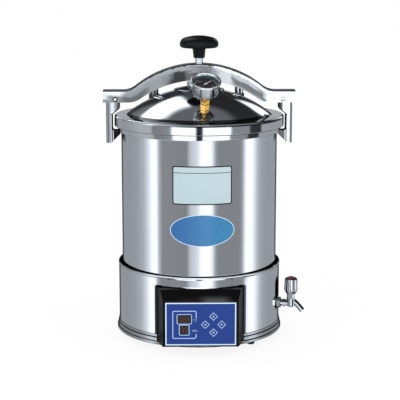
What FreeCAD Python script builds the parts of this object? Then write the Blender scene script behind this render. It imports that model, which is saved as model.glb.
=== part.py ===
import FreeCAD, Part
import math
import os
import Sketcher

# Portable autoclave: an upright steam vessel on a round heated base.
# Frame: origin on the vessel's axis at floor level, +Z up, the control panel faces -Y.
# All sizes are millimetres, and angles are degrees.

SIZES = {
    # feet and base
    "foot_height": 15.5,
    "foot_tip_radius": 7.2,
    "foot_top_radius": 9.0,
    "foot_inset": 17.7,
    "foot_first_angle": -46.0,
    "foot_edge_round": 1.5,
    "plate_thickness": 1.5,
    "ring_bottom": 11.0,
    "ring_height": 19.5,
    "ring_lip": 1.6,
    "ring_depth": 8.1,
    "ring_bead_reach": 4.1,
    "ring_rib_reach": 2.2,
    "ring_top_reach": 0.9,
    "ring_groove": 0.7,
    # outer skirt of the base
    "skirt_gap": 7.2,
    "skirt_wall": 1.2,
    "skirt_top": 145.0,
    "skirt_hem": 2.4,
    "window_half_width": 82.8,
    "window_bottom": 17.0,
    "window_top": 125.0,
    "window_corner": 2.0,
    "trim_corner": 5.0,
    "trim_width": 3.7,
    "trim_top_width": 2.2,
    "trim_proud": 0.9,
    "slot_low": 52.0,
    "slot_high": 120.0,
    "slot_width": 27.0,
    # pressure vessel
    "barrel_radius": 151.5,
    "barrel_wall": 1.5,
    "barrel_floor": 80.0,
    "barrel_corner": 9.0,
    "mouth_height": 413.0,
    "flange_reach": 6.5,
    "flange_height": 9.6,
    "flange_edge": 1.2,
    "cradle_inset": 39.5,
    "cradle_wall": 2.0,
    "cradle_arch_width": 70.0,
    "cradle_arch_height": 34.0,
    # lid
    "lid_lift_gap": 0.3,
    "gasket_proud": 0.3,
    "lid_ring_overhang": 6.5,
    "lid_ring_width": 28.5,
    "lid_ring_height": 20.9,
    "lid_ring_edge": 4.0,
    "lid_ring_foot": 1.6,
    "gasket_inset": 2.7,
    "gasket_width": 8.6,
    "gasket_height": 4.7,
    "gasket_play": 0.2,
    "dome_seat_width": 5.0,
    "dome_rise": 50.5,
    "dome_wall": 2.0,
    "pad_radius": 48.5,
    "pad_edge": 3.0,
    "pad_shoulder": 2.0,
    "pad_crown": 3.5,
    "cup_radius": 23.5,
    "cup_height": 7.0,
    "cup_floor": 1.0,
    "retainer_height": 1.6,
    "cup_edge": 1.2,
    # clamp screw and knob
    "screw_radius": 7.25,
    "screw_foot_radius": 14.0,
    "screw_foot_height": 5.0,
    "running_gap": 0.08,
    "loose_gap": 0.35,
    "screw_seat_gap": 0.3,
    "knob_gap_above_yoke": 10.2,
    "knob_neck_height": 19.5,
    "knob_neck_low_radius": 10.8,
    "knob_neck_high_radius": 12.7,
    "knob_radius": 37.5,
    "knob_height": 43.0,
    "knob_rim_height": 26.0,
    "knob_under_round": 6.5,
    "knob_shoulder_round": 13.5,
    "knob_crown_angle": 16.5,
    "knob_socket": 16.0,
    # yoke beam, a pressed channel, open below
    "yoke_end_length": 24.0,
    "yoke_depth": 36.0,
    "yoke_wall": 3.0,
    "yoke_end_lift": 45.5,
    "yoke_end_height": 22.5,
    "yoke_arch_top": 119.8,
    "yoke_arch_bottom": 88.5,
    "yoke_top_radius": 196.0,
    "yoke_bottom_radius": 198.0,
    "yoke_bend_radius": 40.0,
    "yoke_edge_round": 3.5,
    "yoke_nut_radius": 12.5,
    "yoke_nut_length": 24.0,
    # side hooks, pressed channels, open to the vessel
    "pin_radius": 4.0,
    "pin_inset": 2.5,
    "pin_drop": 16.4,
    "pin_head_radius": 5.0,
    "pin_head_height": 2.0,
    "hook_depth": 29.0,
    "hook_wall": 2.5,
    "hook_web_offset": 18.5,
    "hook_fold_round": 6.0,
    "hook_eye_radius": 8.0,
    "hook_shoulder_drop": 8.6,
    "hook_shoulder_run": 6.0,
    "hook_neck_length": 18.6,
    "hook_ring_gap": 3.5,
    "hook_tooth_gap": 0.3,
    "hook_barrel_gap": 1.0,
    "hook_tooth_height": 5.7,
    "hook_length_below_tooth": 23.6,
    "hook_toe_width": 10.0,
    "hook_notch_round": 4.0,
    # pressure gauge
    "gauge_reach": 99.0,
    "gauge_azimuth": -85.0,
    "gauge_height": 56.0,
    "gauge_case_radius": 24.6,
    "gauge_case_depth": 26.6,
    "gauge_case_wall": 1.4,
    "gauge_case_round": 2.0,
    "gauge_bezel_radius": 28.2,
    "gauge_bezel_height": 5.0,
    "gauge_bezel_lip": 3.6,
    "gauge_glass_thickness": 1.8,
    "gauge_glass_recess": 1.4,
    "gauge_dial_depth": 9.5,
    "gauge_dial_thickness": 0.8,
    "gauge_pointer_depth": 7.6,
    "gauge_zero_angle": 135.0,
    "gauge_pointer_length": 17.0,
    "gauge_pointer_tail": 6.0,
    "gauge_pointer_thickness": 0.6,
    "gauge_hub_radius": 2.6,
    "gauge_shaft_radius": 1.0,
    "union_hex_radius": 9.3,
    "union_low_height": 6.0,
    "union_neck_radius": 5.6,
    "union_neck_height": 1.5,
    "union_high_height": 9.0,
    "union_thread_radius": 4.8,
    "union_thread_length": 9.0,
    "bourdon_radius": 14.0,
    "bourdon_tube_radius": 2.0,
    # safety valve and exhaust valve
    "valve_reach": 95.3,
    "safety_azimuth": 156.8,
    "exhaust_azimuth": 33.1,
    "valve_hex_radius": 10.5,
    "valve_hex_height": 6.0,
    "valve_body_radius": 8.2,
    "valve_body_height": 27.0,
    "valve_bore_radius": 5.2,
    "valve_cap_wall": 3.0,
    "valve_stem_radius": 2.4,
    "valve_button_radius": 6.5,
    "valve_button_height": 5.0,
    "valve_button_lift": 4.5,
    "valve_tail_radius": 4.5,
    "valve_tail_length": 14.0,
    "lever_pin_radius": 2.0,
    "lever_eye_radius": 4.4,
    "lever_width": 7.0,
    "lever_length": 30.0,
    "lever_thickness": 3.0,
    "lever_ear_width": 2.6,
    "lever_rise": 6.0,
    # drain tap
    "tap_azimuth": -17.0,
    "tap_height": 67.7,
    "tap_pipe_radius": 6.3,
    "tap_bore_radius": 3.8,
    "drain_offset": 6.0,
    "drain_bend": 12.0,
    "union_joint_proud": 4.8,
    "tap_nut_radius": 10.8,
    "tap_nut_width": 6.0,
    "tap_axis_offset": 23.5,
    "tap_body_radius": 8.2,
    "tap_body_low": 8.5,
    "tap_body_high": 10.5,
    "tap_cavity_radius": 5.6,
    "spout_radius": 5.2,
    "spout_bore_radius": 3.9,
    "spout_rise": 4.3,
    "spout_level": 2.0,
    "spout_bend": 12.0,
    "spout_slope": 47.0,
    "spout_straight": 18.2,
    "bonnet_hex_radius": 8.2,
    "bonnet_height": 8.8,
    "spindle_radius": 3.0,
    "spindle_end_rise": 4.5,
    "jumper_radius": 5.0,
    "jumper_height": 11.0,
    "jumper_drop": 4.2,
    "jumper_pocket": 8.0,
    "tap_handle_gap": 0.5,
    "tap_handle_height": 31.0,
    "tap_handle_low_radius": 9.4,
    "tap_handle_wide_radius": 13.6,
    "tap_handle_top_radius": 11.4,
    "tap_handle_wide_height": 7.5,
    "tap_handle_socket": 13.0,
    "tap_flute_radius": 3.2,
    "tap_flute_circle": 15.2,
    "tap_cap_radius": 6.8,
    "tap_cap_height": 2.2,
    # control box
    "panel_reach": 19.3,
    "panel_half_width": 70.5,
    "panel_low": 17.0,
    "panel_top": 106.5,
    "housing_half_width": 82.2,
    "housing_flare_depth": 42.0,
    "housing_slope_depth": 19.5,
    "housing_top": 124.0,
    "housing_back": 126.0,
    "housing_wall": 2.5,
    "housing_round": 3.5,
    "housing_vessel_gap": 1.5,
    "film_half_width": 66.2,
    "film_low": 21.0,
    "film_high": 103.5,
    "film_thickness": 0.6,
    "film_corner": 2.0,
    "display_left": -43.9,
    "display_right": -17.4,
    "display_high": 80.6,
    "display_mid": 62.2,
    "timer_left": -39.9,
    "timer_right": -22.0,
    "timer_high": 60.0,
    "timer_low": 41.2,
    "lens_thickness": 1.5,
    "lens_sunk": 0.1,
    "board_depth": 9.0,
    "board_thickness": 1.6,
    "board_half_width": 58.0,
    "board_low": 27.0,
    "board_high": 97.0,
    "boss_radius": 3.0,
    "boss_inset": 5.0,
    "key_half_diagonal": 8.4,
    "key_gap": 0.5,
    "key_proud": 0.3,
    "key_length": 4.0,
    "key_centre_x": 23.8,
    "key_centre_z": 61.2,
    "key_spread_x": 15.3,
    "key_spread_z": 15.5,
    "switch_half": 3.0,
    "switch_gap": 0.7,
    # inlet at the back
    "inlet_half_width": 24.8,
    "inlet_half_height": 14.8,
    "inlet_height": 62.0,
    "inlet_depth": 20.0,
    "inlet_proud": 2.4,
    "inlet_mouth_half_width": 12.0,
    "inlet_mouth_half_height": 8.0,
    "inlet_mouth_depth": 16.0,
    "inlet_pin_length": 12.0,
    "inlet_pin_half_width": 1.0,
    "inlet_pin_half_height": 2.2,
    "inlet_pin_spread": 7.0,
    # heater, probes, plate and bucket
    "heater_tube_radius": 4.5,
    "heater_inset": 24.0,
    "heater_lift": 11.0,
    "heater_bend": 12.0,
    "heater_gap_angle": 34.0,
    "heater_tail": 20.0,
    "heater_nut_radius": 10.0,
    "heater_nut_height": 7.0,
    "terminal_radius": 2.0,
    "terminal_length": 8.0,
    "thermostat_radius": 12.0,
    "thermostat_height": 9.0,
    "thermostat_reach": 52.0,
    "probe_radius": 3.0,
    "probe_reach": 60.0,
    "probe_length": 15.0,
    "probe_head_radius": 7.0,
    "probe_head_height": 8.0,
    "sieve_gap": 5.5,
    "sieve_thickness": 1.5,
    "sieve_lift": 24.0,
    "sieve_leg_radius": 4.0,
    "sieve_leg_inset": 24.0,
    "sieve_hole_radius": 5.0,
    "sieve_hole_step": 30.0,
    "bucket_gap": 14.5,
    "bucket_wall": 1.0,
    "bucket_mouth_gap": 34.0,
    "bucket_corner": 6.0,
    "bucket_bead": 2.2,
    "bucket_hole_radius": 4.0,
    "bail_wire_radius": 2.5,
    "bail_offset": 4.2,
}


class Size:
    """A length or an angle: its number, and the sheet expression that gives it."""

    def __init__(self, number, text):
        self.number = float(number)
        self.text = text

    def __add__(self, other):
        other = as_size(other)
        return Size(self.number + other.number, f"({self.text} + {other.text})")

    def __radd__(self, other):
        return as_size(other) + self

    def __sub__(self, other):
        other = as_size(other)
        return Size(self.number - other.number, f"({self.text} - {other.text})")

    def __rsub__(self, other):
        return as_size(other) - self

    def __mul__(self, other):
        other = as_size(other)
        return Size(self.number * other.number, f"({self.text} * {other.text})")

    def __rmul__(self, other):
        return as_size(other) * self

    def __truediv__(self, other):
        other = as_size(other)
        return Size(self.number / other.number, f"({self.text} / {other.text})")

    def __neg__(self):
        return as_size(0) - self


def as_size(value):
    """A plain number as a Size."""
    if isinstance(value, Size):
        return value
    return Size(value, f"({value:.9g})")


def root(value):
    return Size(math.sqrt(value.number), f"sqrt({value.text})")


def sine(angle):
    angle = as_size(angle)
    return Size(math.sin(math.radians(angle.number)), f"sin({angle.text} * 1 deg)")


def cosine(angle):
    angle = as_size(angle)
    return Size(math.cos(math.radians(angle.number)), f"cos({angle.text} * 1 deg)")


def chord_leg(radius, leg):
    """The other leg of a right triangle whose hypotenuse is the radius."""
    return root(radius * radius - leg * leg)


doc = FreeCAD.newDocument("PortableAutoclave")
sheet = doc.addObject("Spreadsheet::Sheet", "Sizes")
for row, (alias, number) in enumerate(SIZES.items(), start=1):
    sheet.set(f"A{row}", alias)
    sheet.set(f"B{row}", str(number))
    sheet.setAlias(f"B{row}", alias)
doc.recompute()


class Names:
    """The sheet's sizes by name."""


s = Names()
for alias in SIZES:
    setattr(s, alias, Size(sheet.get(alias), f"Sizes.{alias}"))

nodes = []


def keep(piece):
    """Mark a finished piece as a node of the object."""
    nodes.append(piece)
    return piece


def bind(thing, field, value):
    """Set a length or angle of an object, and tie it to the sheet."""
    value = as_size(value)
    setattr(thing, field, value.number)
    thing.setExpression(field, value.text)


def place(thing, at=(0, 0, 0), axis=(0, 0, 1), turn=0):
    """Put an object at a point and turn it about an axis, all tied to the sheet."""
    at = [as_size(value) for value in at]
    turn = as_size(turn)
    position = FreeCAD.Vector(*[value.number for value in at])
    rotation = FreeCAD.Rotation(FreeCAD.Vector(*axis), turn.number)
    thing.Placement = FreeCAD.Placement(position, rotation)
    for letter, value in zip("xyz", at):
        thing.setExpression(f".Placement.Base.{letter}", value.text)
    if turn.number:
        thing.setExpression(".Placement.Rotation.Angle", f"{turn.text} * 1 deg")
    return thing


def arc_centre(first, last, radius, turn):
    """The centre of the short arc between two points that bends left or right."""
    chord = last - first
    middle = (first + last) * 0.5
    left = FreeCAD.Vector(-chord.y, chord.x, 0).normalize()
    reach = math.sqrt(max(radius**2 - (chord.Length / 2) ** 2, 0.0))
    return middle + left * (reach if turn == "left" else -reach)


def draw_outline(sketch, corners):
    """Draw one closed outline. A corner is (x, y), or (x, y, radius, turn) where an arc leads to it."""
    points = []
    for corner in corners:
        points.append((as_size(corner[0]), as_size(corner[1])))
    edges = []
    for index, corner in enumerate(corners):
        following = corners[(index + 1) % len(corners)]
        first = FreeCAD.Vector(points[index][0].number, points[index][1].number, 0)
        end = points[(index + 1) % len(corners)]
        last = FreeCAD.Vector(end[0].number, end[1].number, 0)
        if len(following) == 2:
            edge = sketch.addGeometry(Part.LineSegment(first, last))
            edges.append((edge, 1, 2))
            continue
        radius = as_size(following[2])
        turn = following[3]
        centre = arc_centre(first, last, radius.number, turn)
        if turn == "left":
            start, finish = first, last
            ends = (1, 2)
        else:
            start, finish = last, first
            ends = (2, 1)
        from_angle = math.atan2(start.y - centre.y, start.x - centre.x)
        to_angle = math.atan2(finish.y - centre.y, finish.x - centre.x)
        if to_angle < from_angle:
            to_angle += 2 * math.pi
        circle = Part.Circle(centre, FreeCAD.Vector(0, 0, 1), radius.number)
        edge = sketch.addGeometry(Part.ArcOfCircle(circle, from_angle, to_angle))
        edges.append((edge, *ends))
        number = sketch.addConstraint(Sketcher.Constraint("Radius", edge, radius.number))
        sketch.setExpression(f"Constraints[{number}]", radius.text)
    for index, (edge, start, finish) in enumerate(edges):
        following, following_start, _ = edges[(index + 1) % len(edges)]
        sketch.addConstraint(
            Sketcher.Constraint("Coincident", edge, finish, following, following_start)
        )
        for kind, value in zip(("DistanceX", "DistanceY"), points[index]):
            number = sketch.addConstraint(
                Sketcher.Constraint(kind, -1, 1, edge, start, value.number)
            )
            if "Sizes" in value.text:
                sketch.setExpression(f"Constraints[{number}]", value.text)


def draw_circle(sketch, x, y, radius):
    """Draw one round hole or disc."""
    x, y, radius = as_size(x), as_size(y), as_size(radius)
    centre = FreeCAD.Vector(x.number, y.number, 0)
    edge = sketch.addGeometry(Part.Circle(centre, FreeCAD.Vector(0, 0, 1), radius.number))
    rules = (
        ("DistanceX", (-1, 1, edge, 3), x),
        ("DistanceY", (-1, 1, edge, 3), y),
        ("Radius", (edge,), radius),
    )
    for kind, places, value in rules:
        number = sketch.addConstraint(Sketcher.Constraint(kind, *places, value.number))
        if "Sizes" in value.text:
            sketch.setExpression(f"Constraints[{number}]", value.text)


def new_sketch(body, plane, outlines=(), circles=(), offset=0):
    """A sketch on one of the body's own planes, moved along the plane's normal."""
    sketch = body.newObject("Sketcher::SketchObject", body.Name + "_sketch")
    flat = [item for item in body.Origin.OriginFeatures if item.Role == plane][0]
    sketch.AttachmentSupport = [(flat, "")]
    sketch.MapMode = "FlatFace"
    offset = as_size(offset)
    if offset.number:
        sketch.AttachmentOffset = FreeCAD.Placement(
            FreeCAD.Vector(0, 0, offset.number), FreeCAD.Rotation()
        )
        sketch.setExpression(".AttachmentOffset.Base.z", offset.text)
    for outline in outlines:
        draw_outline(sketch, outline)
    for circle in circles:
        draw_circle(sketch, *circle)
    return sketch


def new_body(name):
    body = doc.addObject("PartDesign::Body", name)
    body.Label = name
    return body


def turned(name, corners, angle=360):
    """A piece made by turning a half section, given as (radius, height), about Z."""
    body = new_body(name)
    sketch = new_sketch(body, "XZ_Plane", [corners])
    feature = body.newObject("PartDesign::Revolution", name + "_turn")
    feature.Profile = sketch
    feature.ReferenceAxis = (sketch, ["V_Axis"])
    feature.Angle = angle
    sketch.Visibility = False
    doc.recompute()
    return body


def prism(name, plane, outlines=(), length=1, start=0, circles=(), both_ways=False):
    """A piece made by extruding outlines from one of the three planes."""
    body = new_body(name)
    sketch = new_sketch(body, plane, outlines, circles, start)
    feature = body.newObject("PartDesign::Pad", name + "_pad")
    feature.Profile = sketch
    if both_ways:
        feature.SideType = "Symmetric"
    bind(feature, "Length", length)
    doc.recompute()
    return body


def pocket(body, plane, outlines=(), circles=(), length=None, start=0, backwards=False):
    """Cut outlines out of a body, both ways unless it starts somewhere."""
    sketch = new_sketch(body, plane, outlines, circles, start)
    feature = body.newObject("PartDesign::Pocket", body.Name + "_pocket")
    feature.Profile = sketch
    if length is None:
        feature.SideType = "Symmetric"
        feature.Type = "ThroughAll"
    else:
        if not as_size(start).number:
            feature.SideType = "Symmetric"
        feature.Reversed = backwards
        bind(feature, "Length", length)
    doc.recompute()
    return body


def round_edges(body, choose, radius):
    """Fillet the edges of a body that the chooser picks."""
    base = body.Tip
    names = []
    for number, edge in enumerate(base.Shape.Edges, start=1):
        if choose(edge):
            names.append(f"Edge{number}")
    feature = body.newObject("PartDesign::Fillet", body.Name + "_fillet")
    feature.Base = (base, names)
    bind(feature, "Radius", radius)
    doc.recompute()
    return body


def cylinder(name, radius, height, at=(0, 0, 0)):
    piece = doc.addObject("Part::Cylinder", name)
    bind(piece, "Radius", radius)
    bind(piece, "Height", height)
    return place(piece, at)


def sphere(name, radius, at=(0, 0, 0)):
    piece = doc.addObject("Part::Sphere", name)
    bind(piece, "Radius", radius)
    return place(piece, at)


def block(name, low, high):
    """A box between two opposite corners."""
    piece = doc.addObject("Part::Box", name)
    low = [as_size(value) for value in low]
    high = [as_size(value) for value in high]
    for field, first, last in zip(("Length", "Width", "Height"), low, high):
        bind(piece, field, last - first)
    return place(piece, low)


def hexagon(name, radius, height, at=(0, 0, 0)):
    piece = doc.addObject("Part::Prism", name)
    piece.Polygon = 6
    bind(piece, "Circumradius", radius)
    bind(piece, "Height", height)
    return place(piece, at)


def cut(name, base, tool):
    piece = doc.addObject("Part::Cut", name)
    piece.Base = base
    piece.Tool = tool
    doc.recompute()
    return piece


def shared(name, first, second):
    piece = doc.addObject("Part::Common", name)
    piece.Base = first
    piece.Tool = second
    doc.recompute()
    return piece


def joined(name, pieces):
    """One solid from several that meet."""
    piece = doc.addObject("Part::MultiFuse", name)
    piece.Shapes = pieces
    piece.Refine = True
    doc.recompute()
    return piece


def group(name, pieces):
    """Separate solids in one node."""
    piece = doc.addObject("Part::Compound", name)
    piece.Links = pieces
    doc.recompute()
    return piece


def rounded_rectangle(left, low, right, high, corner):
    """A rectangle with round corners, counter-clockwise."""
    return [
        (right - corner, low),
        (right, low + corner, corner, "left"),
        (right, high - corner),
        (right - corner, high, corner, "left"),
        (left + corner, high),
        (left, high - corner, corner, "left"),
        (left, low + corner),
        (left + corner, low, corner, "left"),
    ]


def rectangle(left, low, right, high):
    return [(left, low), (right, low), (right, high), (left, high)]


def polar(radius, angle):
    """A point at a radius and an angle from +X."""
    return radius * cosine(angle), radius * sine(angle)


def cap_radius(half_width, rise):
    """Radius of the round cap that has this half width and this rise."""
    return (half_width * half_width + rise * rise) / (2 * rise)


# Radii and reaches that follow the barrel
skirt_radius = s.barrel_radius + s.skirt_gap
foot_circle_radius = skirt_radius - s.foot_inset
ring_inner_radius = skirt_radius - s.ring_depth
flange_radius = s.barrel_radius + s.flange_reach
lid_ring_radius = flange_radius + s.lid_ring_overhang
lid_ring_bore = lid_ring_radius - s.lid_ring_width
dome_base_radius = lid_ring_bore + s.dome_seat_width
gasket_inner_radius = s.barrel_radius - s.gasket_inset
gasket_outer_radius = gasket_inner_radius + s.gasket_width
cradle_radius = s.barrel_radius - s.cradle_inset
heater_ring_radius = cradle_radius - s.heater_inset
drain_reach = cradle_radius + s.drain_offset
bucket_radius = s.barrel_radius - s.bucket_gap
bail_reach = bucket_radius + s.bail_offset
sieve_radius = s.barrel_radius - s.sieve_gap
sieve_leg_circle = sieve_radius - s.sieve_leg_inset
pin_reach = lid_ring_radius - s.pin_inset
hook_web_reach = pin_reach + s.hook_web_offset
yoke_half_length = pin_reach + s.yoke_end_length
union_joint_reach = skirt_radius + s.union_joint_proud
tap_axis_reach = union_joint_reach + s.tap_axis_offset
panel_front = skirt_radius + s.panel_reach

# Heights that several pieces share
plate_low = s.foot_height
plate_top = plate_low + s.plate_thickness
ring_top = s.ring_bottom + s.ring_height
skirt_bore = skirt_radius - s.skirt_wall
barrel_bore = s.barrel_radius - s.barrel_wall
chamber_floor = s.barrel_floor + s.barrel_wall
flange_low = s.mouth_height - s.flange_height
gasket_low = s.mouth_height + s.lid_lift_gap
lid_low = gasket_low + s.gasket_proud
lid_ring_top = lid_low + s.lid_ring_height
dome_top = lid_ring_top + s.dome_rise
dome_radius = cap_radius(dome_base_radius, s.dome_rise)
dome_centre = dome_top - dome_radius
pad_top = dome_top + s.pad_crown
cup_top = pad_top + s.cup_height
retainer_top = cup_top + s.retainer_height
yoke_end_bottom = s.mouth_height + s.yoke_end_lift
yoke_end_top = yoke_end_bottom + s.yoke_end_height
yoke_top = s.mouth_height + s.yoke_arch_top
yoke_bottom = s.mouth_height + s.yoke_arch_bottom
pin_height = yoke_end_top - s.pin_drop
knob_bottom = yoke_top + s.knob_gap_above_yoke


def dome_height(reach_squared, radius):
    """Height of a sphere about the dome's centre at a squared distance from the axis."""
    return dome_centre + root(radius * radius - reach_squared)


def make_feet():
    """Three rubber feet under the base plate."""
    feet = []
    step = 120
    for number in range(3):
        foot = turned(
            f"foot_{number}",
            [
                (0, 0),
                (s.foot_tip_radius - s.foot_edge_round, 0),
                (s.foot_tip_radius, s.foot_edge_round, s.foot_edge_round, "left"),
                (s.foot_top_radius, s.foot_height),
                (0, s.foot_height),
            ],
        )
        x, y = polar(foot_circle_radius, s.foot_first_angle + step * number)
        feet.append(place(foot, (x, y, 0)))
    keep(group("rubber_feet", feet))


def make_base():
    """Base plate, ribbed bottom ring, and the cradle that carries the vessel."""
    keep(cylinder("base_plate", skirt_bore, s.plate_thickness, (0, 0, plate_low)))
    outside = skirt_radius
    bead_top = s.ring_bottom + s.ring_height * 0.32
    rib_top = s.ring_bottom + s.ring_height * 0.72
    groove = s.ring_groove
    ring = turned(
        "base_ring_blank",
        [
            (ring_inner_radius, s.ring_bottom),
            (outside + s.ring_bead_reach - 2 * groove, s.ring_bottom),
            (outside + s.ring_bead_reach, s.ring_bottom + 2 * groove, 2 * groove, "left"),
            (outside + s.ring_bead_reach, bead_top - 2 * groove),
            (outside + s.ring_bead_reach - 2 * groove, bead_top, 2 * groove, "left"),
            (outside + s.ring_rib_reach - groove, bead_top),
            (outside + s.ring_rib_reach, bead_top + groove),
            (outside + s.ring_rib_reach, rib_top - 2 * groove),
            (outside + s.ring_top_reach - groove * 0.5, rib_top),
            (outside + s.ring_top_reach, rib_top + groove),
            (outside + s.ring_top_reach, ring_top - groove),
            (outside, ring_top),
            (outside, s.ring_bottom + s.ring_lip),
            (ring_inner_radius, s.ring_bottom + s.ring_lip),
        ],
    )
    doorway = block(
        "ring_doorway",
        (-s.window_half_width, -2 * skirt_radius, s.window_bottom),
        (s.window_half_width, -skirt_radius * 0.5, 2 * ring_top),
    )
    keep(cut("base_ring", ring, doorway))

    cradle = turned(
        "cradle_tube",
        [
            (cradle_radius - s.cradle_wall, plate_top),
            (cradle_radius, plate_top),
            (cradle_radius, s.barrel_floor),
            (cradle_radius - s.cradle_wall, s.barrel_floor),
        ],
    )
    half = s.cradle_arch_width * 0.5
    for number in range(3):
        arch = prism(
            f"cradle_arch_{number}",
            "XZ_Plane",
            [
                [
                    (-half, plate_top - 1),
                    (half, plate_top - 1),
                    (half, plate_top + s.cradle_arch_height * 0.3),
                    (0, plate_top + s.cradle_arch_height * 0.3 + half, half, "left"),
                    (-half, plate_top + s.cradle_arch_height * 0.3, half, "left"),
                ]
            ],
            length=cradle_radius * 1.5,
        )
        place(arch, turn=as_size(60 + 120 * number))
        cradle = cut(f"cradle_cut_{number}", cradle, arch)
    cradle.Label = "vessel_cradle"
    keep(cradle)


def make_skirt():
    """Outer skirt with a hemmed top edge, the panel window, the tap slot and the inlet hole."""
    wall = turned(
        "skirt_wall_tube",
        [
            (skirt_bore, s.ring_bottom + s.ring_lip),
            (skirt_radius, s.ring_bottom + s.ring_lip),
            (skirt_radius, s.skirt_top - 2 * s.skirt_hem),
            (skirt_radius + s.skirt_wall * 0.6, s.skirt_top - s.skirt_hem),
            (skirt_radius, s.skirt_top, s.skirt_hem * 1.3, "left"),
            (skirt_bore, s.skirt_top),
        ],
    )
    window = prism(
        "skirt_window",
        "XZ_Plane",
        [
            rounded_rectangle(
                -s.window_half_width,
                s.window_bottom,
                s.window_half_width,
                s.window_top,
                s.window_corner,
            )
        ],
        length=skirt_radius,
        start=skirt_radius * 0.5,
    )
    half = s.slot_width * 0.5
    slot = prism(
        "skirt_slot",
        "YZ_Plane",
        [
            [
                (half, s.slot_low + half, half, "left"),
                (half, s.slot_high - half),
                (0, s.slot_high, half, "left"),
                (-half, s.slot_high - half, half, "left"),
                (-half, s.slot_low + half),
                (0, s.slot_low, half, "left"),
            ]
        ],
        length=skirt_radius,
        start=skirt_radius * 0.5,
    )
    place(slot, turn=s.tap_azimuth)
    opening = block(
        "inlet_opening",
        (-s.inlet_half_width, skirt_radius * 0.5, s.inlet_height - s.inlet_half_height),
        (s.inlet_half_width, skirt_radius * 1.5, s.inlet_height + s.inlet_half_height),
    )
    skirt = cut("skirt_1", wall, window)
    skirt = cut("skirt_2", skirt, slot)
    skirt = cut("skirt", skirt, opening)
    keep(skirt)

    band = turned(
        "trim_band",
        [
            (skirt_radius, s.window_bottom),
            (skirt_radius + s.trim_proud, s.window_bottom),
            (skirt_radius + s.trim_proud, s.window_top + s.trim_top_width),
            (skirt_radius, s.window_top + s.trim_top_width),
        ],
    )
    outside = s.window_half_width + s.trim_width
    outer = prism(
        "trim_outside",
        "XZ_Plane",
        [
            [
                (outside, ring_top),
                (outside, s.window_top + s.trim_top_width - s.trim_corner),
                (
                    outside - s.trim_corner,
                    s.window_top + s.trim_top_width,
                    s.trim_corner,
                    "left",
                ),
                (s.trim_corner - outside, s.window_top + s.trim_top_width),
                (
                    -outside,
                    s.window_top + s.trim_top_width - s.trim_corner,
                    s.trim_corner,
                    "left",
                ),
                (-outside, ring_top),
            ]
        ],
        length=skirt_radius,
        start=skirt_radius * 0.5,
    )
    keep(cut("window_trim", shared("trim_blank", band, outer), window))


def make_vessel():
    """Drawn steel barrel with its mouth flange."""
    corner = s.barrel_corner
    inner_corner = corner - s.barrel_wall
    barrel = turned(
        "barrel_blank",
        [
            (0, s.barrel_floor),
            (s.barrel_radius - corner, s.barrel_floor),
            (s.barrel_radius, s.barrel_floor + corner, corner, "left"),
            (s.barrel_radius, s.mouth_height),
            (barrel_bore, s.mouth_height),
            (barrel_bore, s.barrel_floor + corner),
            (s.barrel_radius - corner, chamber_floor, inner_corner, "right"),
            (0, chamber_floor),
        ],
    )
    drain_x, drain_y = polar(drain_reach, s.tap_azimuth)
    holes = [cylinder("drain_hole", s.tap_pipe_radius, 20, (drain_x, drain_y, s.barrel_floor - 5))]
    for number, side in enumerate((-1, 1)):
        x, y = heater_leg(side)
        holes.append(
            cylinder(f"heater_hole_{number}", s.heater_tube_radius, 20, (x, y, s.barrel_floor - 5))
        )
    holes.append(
        cylinder("probe_hole", s.probe_radius, 20, (-s.probe_reach, 0, s.barrel_floor - 5))
    )
    keep(cut("barrel", barrel, group("barrel_holes", holes)))
    keep(
        turned(
            "barrel_flange",
            [
                (s.barrel_radius, flange_low),
                (flange_radius - s.flange_edge, flange_low),
                (flange_radius, flange_low + s.flange_edge, s.flange_edge, "left"),
                (flange_radius, s.mouth_height),
                (s.barrel_radius, s.mouth_height),
            ],
        )
    )


def heater_leg(side):
    """Where a leg of the heater goes through the floor."""
    angle = 90 + side * s.heater_gap_angle * 0.5
    x, y = polar(heater_ring_radius, angle)
    return x + side * s.heater_bend * sine(angle), y - side * s.heater_bend * cosine(angle)


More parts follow.
